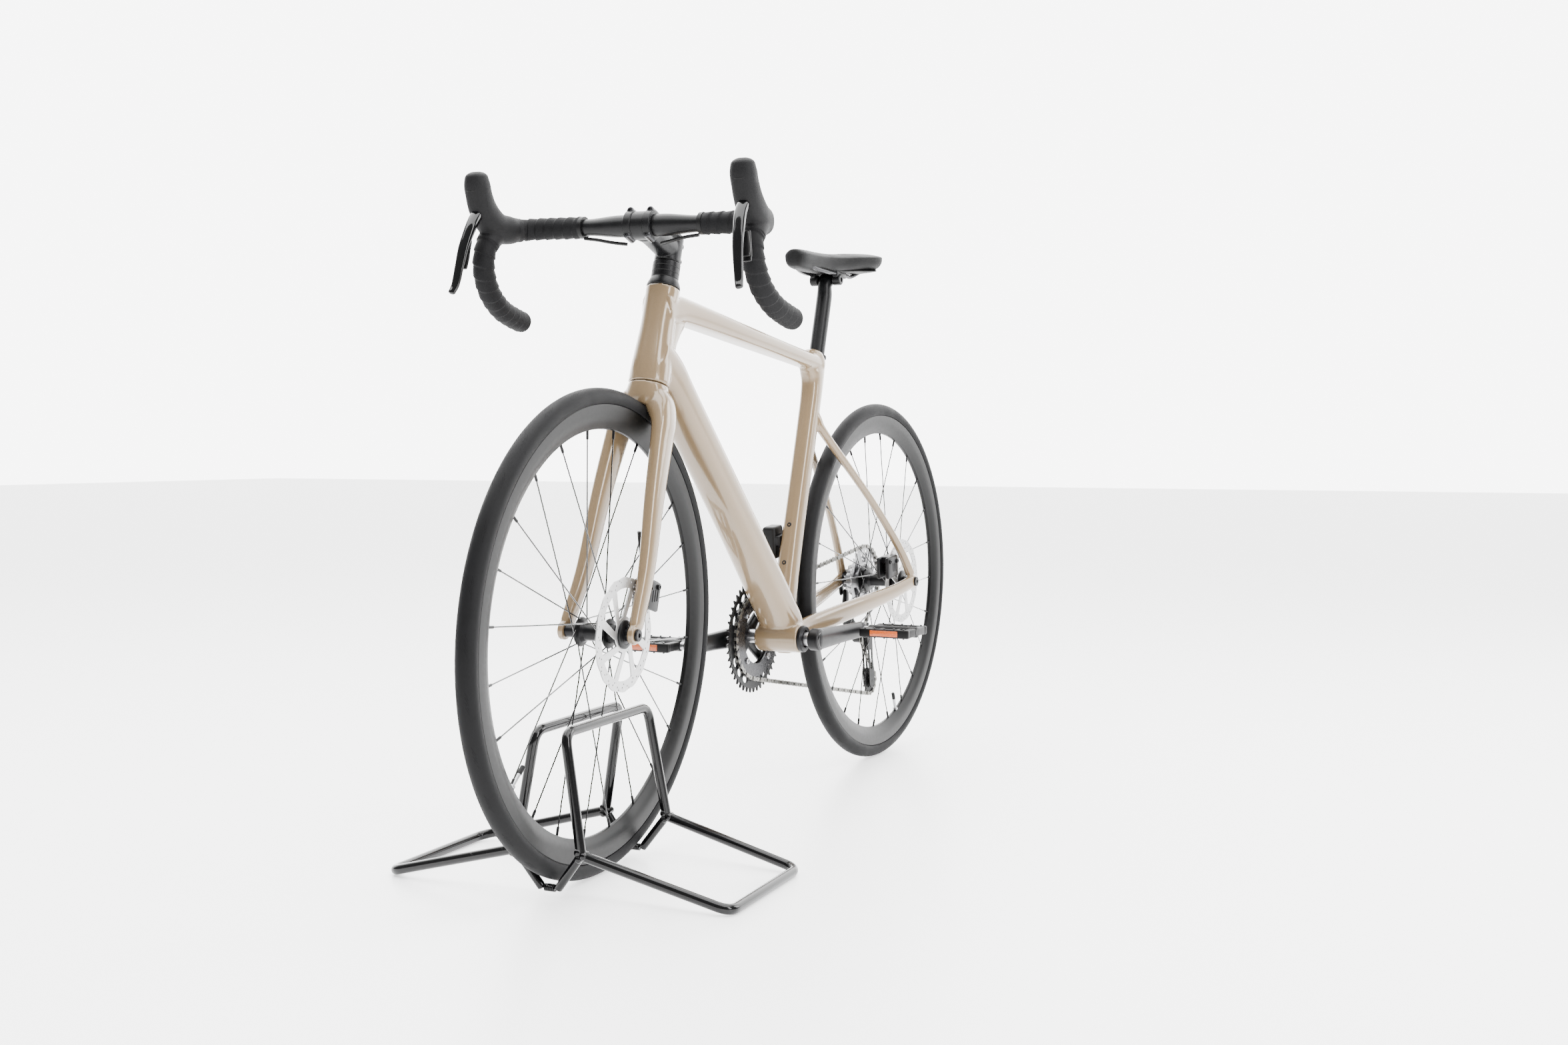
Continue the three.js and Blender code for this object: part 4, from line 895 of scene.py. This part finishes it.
def frame_shell():
    pieces = [
        loft("head", [(*on_steer(h), r, w) for h, r, w in HEAD_TUBE], 40),
        loft("top", TOP_TUBE, 40, power=3.0),
        loft("down", DOWN_TUBE, 44, power=3.0),
        loft("seat", [(seat_line(z)[0] + ahead, 0, z, r, w) for z, ahead, r, w in SEAT_TUBE], 36, power=2.6),
        loft("head_web", [(272, 0, 783, 15, 0.9), (300, 0, 770, 24, 0.8), (322, 0, 750, 30, 0.72),
                          (330, 0, 716, 30, 0.72)], 32, power=2.4),
        peg("shell", BB, -37, 42.5, 24, 48, 1.5),
        loft("yoke", [(-86, 0, 262, 21, 1.6), (-112, 0, 268, 16, 2.1), (-134, 0, 273, 11, 2.4)], 32),
    ]
    for _, s in SIDES:
        pieces.append(loft("stay", [(x, s * y, z, r, w) for x, y, z, r, w in SEAT_STAY], 24))
        pieces.append(loft("blade", [(x, s * y, z, r, w) for x, y, z, r, w in CHAIN_STAY], 28, power=2.5))
        pieces.append(peg("dropout", REAR_AXLE, s * 71.3, s * 79.6, 14, 36, 1.2))
    shell = fused("frame_shell", pieces, 1.6, 12)
    put(shell, "bicycle_frame", "paint", PAINT, "frame")
    hanger = loft("derailleur_hanger", [(-496, -76, 336, 9, 0.4), (-500, -76.5, 312, 8.5, 0.4)], 24, dome=0.8)
    alloy(hanger, "bicycle_frame")
    bolts = []
    for z in (398, 462):
        x = seat_line(z)[0] + 17.6
        bolts.append(pin("bolt", (x, 0, z), (x + 3.2, 0, z + 1), 4.2, 18, 0.9, 2))
    along = (Vector((100, 0, 491)) - Vector((-60, 0, 322))).normalized()
    out = along.cross(ACROSS)
    for t in (60, 125, 190):
        start = Vector((-60, 0, 322)) + along * t + out * 25
        bolts.append(pin("bolt", tuple(start), tuple(start + out * 3.4), 4.2, 18, 0.9, 2))
    alloy(joined("bottle_bolts", bolts), "bicycle_frame")
    axle = [peg("head", REAR_AXLE, 79.8, 84, 9, 32, 0.8, 3.2),
            peg("end", REAR_AXLE, -79.4, -80.8, 7, 24, 0.3, 4)]
    alloy(joined("rear_axle_ends", axle), "bicycle_frame", "rear_thru_axle")
    cup = lathe("bottom_bracket_cups", [(14.5, 42.7), (22.5, 42.7), (22.5, 47.5), (20.5, 49.5),
                                        (14.5, 49.5)], BB, 48)
    alloy(cup, "bicycle_frame")


def seat_parts():
    band = [(*seat_line(SEAT_TOP + h), r, 0.98)
            for h, r in ((0.5, 17.2), (1.2, 17.8), (4.4, 17.8), (5.2, 17.2))]
    collar = loft("seat_collar_ring", band, 40, per=2)
    put(collar, "bicycle_frame", "black_alloy", PLASTIC, "seat_collar")
    stations = [(*seat_line(z), 13.6, 1) for z in (700, 790, 860)]
    stations += [(-256, 0, 884, 12.5, 1), (-271, 0, 897, 12, 1.4)]
    post = loft("post_tube", stations, 36)
    alloy(post, "saddle_post", "seatpost")
    pieces = [block("ear", (41, 10, 12.6), (-270, s * 22, 903), 0, 2.4) for _, s in SIDES]
    pieces.append(block("bridge", (25, 42, 4), (-270, 0, 908), 0, 1.2))
    pieces.append(pin("bolt", (-292, 0, 892), (-286, 0, 912), 4, 18, 0.8))
    for _, s in SIDES:
        pieces.append(peg("barrel", (-262, 0, 893), s * 14, s * 29.5, 9.5, 40, 1.4, 4.2))
    alloy(joined("clamp_parts", pieces), "saddle_post", "saddle_clamp")
    line = ((-352, 36, 921), (-338, 29, 912), (-318, 22, 903), (-292, 22, 903), (-248, 22, 903),
            (-215, 22, 903), (-180, 17, 906), (-152, 10, 915), (-138, 0, 919))
    route = spline(list(line) + [(x, -y, z) for x, y, z in reversed(line[:-1])], 8)
    put(sweep("rail_loop", route, 3.5, 16), "saddle_post", "steel", RUST, "saddle_rails")


SADDLE = ((-125.6, 6, 927, 13), (-127.4, 13, 929, 22), (-131.8, 18, 930, 27), (-145.8, 21, 931, 31),
          (-181.0, 23, 931, 32), (-220.6, 27, 932, 32), (-258.5, 39, 934, 32), (-293.7, 57, 938, 33),
          (-325.4, 70, 941, 35), (-346.5, 72, 943, 35), (-358.8, 64, 944, 32), (-365.0, 44, 944, 27),
          (-366.7, 22, 944, 20))


SADDLE_CROWN = 5.5
SADDLE_CHANNEL = 2.2


def saddle_lift(x, y, half):
    """Rise of the crown and depth of the channel at a point of the saddle's top."""
    channel = SADDLE_CHANNEL * exp(-(y / 7) ** 2) * min(1, max(0, (-x - 125) / 40))
    return SADDLE_CROWN * (1 - (y / half) ** 2), channel


def saddle():
    """Crowned cushion over a thin shell, longer than wide, with a shallow centre channel."""
    rows = spline(SADDLE, 6)
    size = 44
    rings = []
    for x, half, top, depth in rows:
        ring = []
        for a in turns(size):
            u = copysign(abs(cos(a)) ** 0.62, cos(a))
            w = copysign(abs(sin(a)) ** 0.8, sin(a))
            y = half * u
            if w >= 0:
                crown, channel = saddle_lift(x, y, half)
                z = top - 6 + (6 + crown) * w - channel * w
            else:
                z = top - 6 + (depth - 8) * w
            ring.append(mm(x, y, z))
        rings.append(ring)
    cushion = skin("saddle_cushion", rings, angle=60)
    put(cushion, "saddle_post", "saddle_cover", COVER, "saddle")
    vertices, faces = [], []
    for x in range(-336, -160, 7):
        half, top = next(a[1:3] for a, b in zip(rows, rows[1:]) if a[0] >= x >= b[0])
        for y in range(-9, 10, 6):
            crown, channel = saddle_lift(x, y, half)
            lift = top + crown - channel
            base = len(vertices)
            for shift in (0.12, -0.5):
                vertices += [mm(px, py, lift + shift) for px, py in circle(1.3, 8, x, y)]
            faces += prism_faces(base, 8)
    put(mesh_object("saddle_perforations", vertices, faces), "saddle_post", "saddle_cover", TREAD)
    under = spline([(x + (5 if x < -300 else -5), half - 6, top - depth + 6, 3)
                    for x, half, top, depth in SADDLE[2:-2]], 5)
    rings = [[mm(x, (half - 2) * cos(a), top + 4 * sin(a)) for a in turns(24)] for x, half, top, _ in under]
    put(skin("saddle_base", rings, angle=60), "saddle_post", "black_plastic", PLASTIC)


# ------------------------------------------------------------------ drivetrain


def belt():
    """Points every few millimetres along the chain's run, in the X-Z plane."""
    wheels = [(BB, pitch_radius(RING_TEETH), 1), (TENSION_PULLEY, pitch_radius(PULLEY_TEETH), 1),
              (GUIDE_PULLEY, pitch_radius(PULLEY_TEETH), -1), (REAR_AXLE, pitch_radius(COG_TEETH[-1]), 1)]
    count = len(wheels)
    angles = []
    for i, (centre, r, turn) in enumerate(wheels):
        other, r1, turn1 = wheels[(i + 1) % count]
        dx, dz = other[0] - centre[0], other[2] - centre[2]
        angles.append(atan2(dz, dx) + acos((turn * r - turn1 * r1) / hypot(dx, dz)))
    route = []
    for i, (centre, r, turn) in enumerate(wheels):
        start, sweep_by = angles[i - 1], angles[i] - angles[i - 1]
        while turn * sweep_by > 0:
            sweep_by -= turn * tau
        while turn * sweep_by < -tau:
            sweep_by += turn * tau
        for k in range(25):
            a = start + sweep_by * k / 24
            route.append((centre[0] + turn * r * cos(a), centre[2] + turn * r * sin(a)))
    return route


def chain():
    """Inner and outer links with their rollers, laid along the run."""
    route = belt()
    route.append(route[0])
    runs = [0.0]
    for a, b in zip(route, route[1:]):
        runs.append(runs[-1] + dist(a, b))
    total = runs[-1]
    links = 2 * round(total / PITCH / 2)
    slope = (RING_Y - COG_Y) / (BB[0] - REAR_AXLE[0])

    def at(length):
        length %= total
        i = next(k for k in range(len(runs) - 1) if runs[k + 1] >= length)
        t = (length - runs[i]) / max(1e-9, runs[i + 1] - runs[i])
        x = route[i][0] + (route[i + 1][0] - route[i][0]) * t
        z = route[i][1] + (route[i + 1][1] - route[i][1]) * t
        return Vector((x, COG_Y + slope * (x - REAR_AXLE[0]), z))

    outline = []
    for k in range(7):
        a = pi / 2 + pi * k / 6
        outline.append((3.9 * cos(a), 3.9 * sin(a)))
    outline.append((PITCH / 2, -2.5))
    for k in range(7):
        a = -pi / 2 + pi * k / 6
        outline.append((PITCH + 3.9 * cos(a), 3.9 * sin(a)))
    outline.append((PITCH / 2, 2.5))
    vertices, faces = [], []

    def prism(shape, origin, along, y0, y1):
        across = Vector((-along.z, 0, along.x))
        base, n = len(vertices), len(shape)
        for y in (y0, y1):
            for u, w in shape:
                vertices.append((origin + along * u + across * w + ACROSS * y) * MM)
        faces.extend(prism_faces(base, n))

    for k in range(links):
        here, there = at(total * k / links), at(total * (k + 1) / links)
        along = Vector((there.x - here.x, 0, there.z - here.z)).normalized()
        inside, outside = (1.3, 2.0) if k % 2 else (2.05, 2.75)
        for s in (-1, 1):
            prism(outline, here, along, s * inside, s * outside)
        prism(circle(3.4, 10), here, along, -1.3, 1.3)
        prism(circle(1.6, 8), here, along, -3.0, 3.0)
    put(mesh_object("chain_links", vertices, faces, 30), "bicycle_frame", "chain_steel", CHAIN, "chain")


def cassette():
    pieces = []
    for i, count in enumerate(COG_TEETH):
        y = COG_Y - 2.85 * (len(COG_TEETH) - 1 - i)
        outlines = [teeth(count, 3.0)]
        if count >= 17:
            inner = max(18.5, pitch_radius(count) * 0.46)
            outlines.append(circle(inner, 40))
            for k in range(6):
                a0 = pi * k / 3
                low, high = inner + 3.5, pitch_radius(count) - 8
                if high - low > 5:
                    window = [(high * cos(a0 + 0.12 + 0.7 * j / 6), high * sin(a0 + 0.12 + 0.7 * j / 6))
                              for j in range(7)]
                    window += [(low * cos(a0 + 0.7 - 0.46 * j / 4), low * sin(a0 + 0.7 - 0.46 * j / 4))
                               for j in range(5)]
                    outlines.append(window)
        else:
            outlines.append(circle(17.8, 40))
        pieces.append(plate("cog", outlines, y, 1.6, 0.15, REAR_AXLE))
    put(joined("sprocket_stack", pieces), "cassette", "steel", STEEL, "cassette")
    low = COG_Y - 34
    core = lathe("cassette_core", [(17.7, low), (20, low), (20.6, low + 2), (21, -35), (27, -30),
                                   (27, COG_Y - 1), (17.7, COG_Y - 1)], REAR_AXLE, 48)
    alloy(core, "cassette")


def chainrings():
    big = [teeth(BIG_RING_TEETH), circle(47, 72)]
    for k in range(4):
        a0 = pi / 2 * k + 0.12
        for j in range(3):
            a = a0 + 0.32 + j * 0.31
            oval = [(78 + 6 * cos(b), a + 0.12 * sin(b)) for b in turns(14)]
            big.append([(r * cos(at), r * sin(at)) for r, at in oval])
    alloy(plate("big_ring", big, BIG_RING_Y, 3.2, 0.4, BB), "cranks", "chainring_outer")
    teeth_band = plate("big_ring_teeth", [teeth(BIG_RING_TEETH, 3.1, 4.0), circle(88, 96)], BIG_RING_Y, 2.0,
                       0.3, BB)
    put(teeth_band, "cranks", "steel", CHAIN)
    small = [teeth(RING_TEETH), circle(47, 72)]
    put(plate("small_ring", small, RING_Y - 1.2, 3.0, 0.3, BB), "cranks", "black_alloy", RUST,
        "chainring_inner")
    bolts = []
    for k in range(4):
        a = pi / 4 + pi / 2 * k
        x, z = BB[0] + 54 * cos(a), BB[2] + 54 * sin(a)
        bolts.append(peg("bolt", (x, 0, z), -46, -38.6, 5.2, 20, 0.7, 2.6))
    put(joined("ring_bolts", bolts), "cranks", "steel", STEEL)


def cranks():
    for side, s in SIDES:
        tip = (BB[0] - s * CRANK_LENGTH, s * (CRANK_Y + 5), BB[2])
        foot = (BB[0], s * CRANK_Y, BB[2])
        rows = []
        for t, r, w in ((0.0, 18.5, 0.62), (0.25, 17, 0.6), (0.6, 15, 0.58), (1.0, 14, 0.6)):
            rows.append((*[a + (b - a) * t for a, b in zip(foot, tip)], r, w))
        pieces = [loft("arm", rows, 32, power=2.6, dome=0.9),
                  peg("boss", BB, s * (CRANK_Y - 10), s * (CRANK_Y + 8.6), 18.6, 48, 1.6),
                  peg("eye", tip, s * (CRANK_Y - 2), s * (CRANK_Y + 12.6), 13, 36, 1.4)]
        if s < 0:
            for k in range(4):
                a = pi / 4 + pi / 2 * k
                end = (BB[0] + 58 * cos(a), -58, BB[2] + 58 * sin(a))
                pieces.append(loft("spider", [(BB[0], -63, BB[2], 15, 0.45), (*end, 9, 0.5)], 24, dome=0.8,
                                   power=2.6))
        arm = fused(f"crank_arm_{side}", pieces, 1.2, 4)
        alloy(arm, "cranks", f"crank_{side}")
        face = s * (CRANK_Y + 8.8)
        cap = lathe(f"crank_cap_{side}", [(r, face + s * y) for r, y in (
            (4.5, -1.5), (13, -1.5), (13.4, 0), (12.5, 0.6), (8.5, 0.6), (7.5, -0.8), (4.5, -0.8))], BB, 48)
        put(cap, "cranks", "black_alloy", GLOSS)
        shaft = peg(f"pedal_axle_{side}", tip, s * (CRANK_Y + 12), s * (PEDAL_Y - 44), 7, 24, 0.6)
        put(shaft, "cranks", "steel", STEEL)
    pieces = [peg("spindle", BB, -60, 62, 12, 32, 0.6)]
    for x in (-8, 8):
        pieces.append(pin("pinch", (BB[0] - 22 + x, 58, BB[2] - 19), (BB[0] - 22 + x, 58, BB[2] - 12), 3.4,
                          16, 0.5, 1.8))
    put(joined("crank_spindle", pieces), "cranks", "steel", STEEL)


def pedals():
    for side, s in SIDES:
        cx, cy, cz = BB[0] - s * CRANK_LENGTH, s * PEDAL_Y, BB[2]
        pieces = [peg("housing", (cx, 0, cz), cy - 46, cy + 46, 9.4, 28, 1.5)]
        for e in (-1, 1):
            pieces.append(block("rail", (10, 92, 15), (cx + e * 40, cy, cz), 0, 2.4))
            pieces.append(block("end", (84, 13, 14), (cx, cy + e * 39, cz), 0, 2.4))
            for n in (-16, 16):
                pieces.append(block("rib", (34, 5, 12), (cx + e * 22, cy + n, cz), 0, 1.2))
        body = joined(f"pedal_body_{side}", pieces)
        put(body, f"pedal_{side}", "black_plastic", PLASTIC, f"pedal_{side}")
        studs = []
        for e in (-1, 1):
            for y in (-36, -18, 0, 18, 36):
                for up in (-1, 1):
                    studs.append(pin("stud", (cx + e * 41, cy + y, cz + up * 6.5),
                                     (cx + e * 41, cy + y, cz + up * 9.1), 1.7, 10, 0.3))
        put(joined(f"pedal_studs_{side}", studs), f"pedal_{side}", "steel", RUST)
        glass = [block("reflector", (3, 52, 10), (cx + e * 44.2, cy, cz), 0, 0.9) for e in (-1, 1)]
        put(joined(f"pedal_reflectors_{side}", glass), f"pedal_{side}", "black_plastic", AMBER)


def derailleurs():
    pieces = [
        peg("knuckle", (-500, 0, 310), -63.6, -70.4, 9, 28, 1),
        loft("upper", [(-500, -66.6, 311, 9.4, 0.42), (-492, -64, 290, 11, 0.5),
                       (-478, -58, 268, 11.5, 0.6)], 24, dome=0.7, power=2.5),
        loft("link", [(-478, -57, 270, 11.5, 0.9), (-488, -54, 252, 11.5, 0.9),
                      (-500, -48, 234, 11.5, 0.9)], 24, dome=0.6, power=3),
        peg("lower", GUIDE_PULLEY, COG_Y - 9.4, -53, 12.2, 32, 1.6),
    ]
    put(fused("rear_mech_body", pieces, 0.9, 3), "bicycle_frame", "black_plastic", PLASTIC, "rear_derailleur")
    trim = [peg("pivot", (x, 0, z), -69 + 0.24 * (311 - z), -73 + 0.24 * (311 - z), 4, 18, 0.6, 2)
            for x, z in ((-500, 310), (-480, 268))]
    put(joined("rear_mech_bolts", trim), "bicycle_frame", "steel", RUST)
    span = Vector(TENSION_PULLEY) - Vector(GUIDE_PULLEY)
    side_way = Vector((-span.z, 0, span.x)).normalized()
    plates = []
    for e in (-1, 1):
        outline = []
        for centre, start in ((Vector(GUIDE_PULLEY), 0), (Vector(TENSION_PULLEY), pi)):
            for k in range(15):
                a = start + pi * k / 14
                point = centre + side_way * (12.5 * cos(a)) - span.normalized() * (12.5 * sin(a))
                outline.append((point.x, point.z))
            waist = (Vector(GUIDE_PULLEY) + Vector(TENSION_PULLEY)) / 2 + side_way * (-9 if start == 0 else 9)
            outline.append((waist.x, waist.z))
        window = []
        for t, w in ((0.28, -4.5), (0.28, 4.5), (0.72, 4.5), (0.72, -4.5)):
            point = Vector(GUIDE_PULLEY) + span * t + side_way * w
            window.append((point.x, point.z))
        plates.append(plate("side", [outline, window], COG_Y + e * 6.2, 1.8, 0.3))
    for c in (GUIDE_PULLEY, TENSION_PULLEY):
        plates.append(peg("bolt", c, COG_Y - 7.6, COG_Y + 7.6, 3, 20, 0.5))
    put(joined("rear_cage", plates), "derailleur_cage", "black_plastic", PLASTIC, "derailleur_cage")
    for name, centre in (("guide", GUIDE_PULLEY), ("tension", TENSION_PULLEY)):
        outlines = [teeth(PULLEY_TEETH, 3.0, 3.6), circle(3.4, 20)]
        for k in range(6):
            a = pi * k / 3
            outlines.append(circle(2.6, 12, 11.5 * cos(a), 11.5 * sin(a)))
        key = f"{name}_pulley"
        put(plate(f"{key}_wheel", outlines, COG_Y, 3.0, 0.3, centre), key, "black_plastic", PLASTIC, key)
    motor = block("motor", (35, 25, 56), (-118, -34, 432), 0.12, 5, 4)
    lid = block("lid", (24, 3, 40), (-117, -47, 434), 0.12, 1.2)
    arm = loft("arm", [(-124, -42, 408, 9, 0.9), (-128, -46, 378, 8, 0.9)], 20, dome=0.4)
    bridge = block("bridge", (44, 19, 4), (-124, -45.2, 380), 0.1, 1)
    sides = [block("cage", (60, 1.5, 26 + low), (-122, y, 369 - low / 2 + 0.5), 0.1, 0.5)
             for y, low in ((-35.5, 20), (-54.9, 16))]
    mount = block("mount", (24, 13, 17), (-114, -20.5, 436), 0.2, 2)
    put(joined("front_mech_body", [motor, lid, arm, bridge, mount, *sides]), "bicycle_frame",
        "black_plastic", PLASTIC, "front_derailleur")


# ------------------------------------------------------------------ floor stand

STAND = {"junction": (124, 50, 61), "hoop": (117, 22.5, 220), "foot": (113, 259, 7), "arm": (120, 13, 13)}


def bent(points, bend=20):
    """Rod route through millimetre points with rounded corners."""
    path = [Vector(p) for p in points]
    route = [path[0].lerp(path[1], t / 6) for t in range(6)]
    for i in range(1, len(path) - 1):
        enter = path[i] + (path[i - 1] - path[i]).normalized() * bend
        leave = path[i] + (path[i + 1] - path[i]).normalized() * bend
        for k in range(13):
            t = k / 12
            route.append(enter * (1 - t) ** 2 + path[i] * (2 * t * (1 - t)) + leave * t ** 2)
    route.append(path[-1])
    return [tuple(p) for p in route]


def stand():
    for side, s in SIDES:
        def at(key, e):
            x, y, z = STAND[key]
            return (e * x, s * y, z)
        hoop = bent([at("junction", 1), at("hoop", 1), at("hoop", -1), at("junction", -1)])
        feet = bent([at("junction", 1), at("foot", 1), at("foot", -1), at("junction", -1)])
        pieces = [sweep("hoop", hoop, 7, 24), sweep("foot", feet, 7, 24)]
        for e in (1, -1):
            pieces.append(loft("arm", [(*at("junction", e), 5.9, 1), (*at("arm", e), 5.9, 1)], 24, dome=0.5))
            jx, jy, jz = at("junction", e)
            for k in range(3):
                a = 2.1 * k
                wy, wz = jy + 5 * cos(a), jz + 5 * sin(a)
                pieces.append(loft("weld", [(jx - 5, wy, wz, 5.4, 1), (jx + 5, wy, wz, 5.4, 1)], 16, dome=0.8))
        half = joined(f"stand_rod_{side}", pieces)
        half.data.transform(STAND_AT)
        put(half, "stand", "stand_paint", STAND_PAINT, f"stand_{side}_half")
    for name, e in (("front", 1), ("rear", -1)):
        x, y, z = STAND["arm"]
        coil = []
        turns = 7
        for k in range(turns * 14 + 1):
            a = tau * k / 14
            coil.append((e * x + 4.4 * cos(a), -8.4 + 16.8 * k / (turns * 14), z - 0.5 + 4.4 * sin(a)))
        spring = joined(f"stand_coil_{name}", [sweep("coil", coil, 1.0, 8),
                                               peg("core", (e * x, 0, z - 0.5), -8.6, 8.6, 3.2, 16, 0.4)])
        spring.data.transform(STAND_AT)
        put(spring, "stand", "stand_paint", STAND_PAINT, f"stand_spring_{name}")


# ------------------------------------------------------------------ everything

add_camera()
add_stage()
wheel("front", FRONT_AXLE, 49.7, (17, 18), (-27, 18), 39.5, False, 0.13, radians(128))
wheel("rear", REAR_AXLE, 70.7, (33, 20), (-18, 21), 52, True, 0.05, radians(200))
fork()
headset()
stem()
handlebar()
levers()
brakes()
frame_shell()
seat_parts()
saddle()
chain()
cassette()
chainrings()
cranks()
pedals()
derailleurs()
stand()
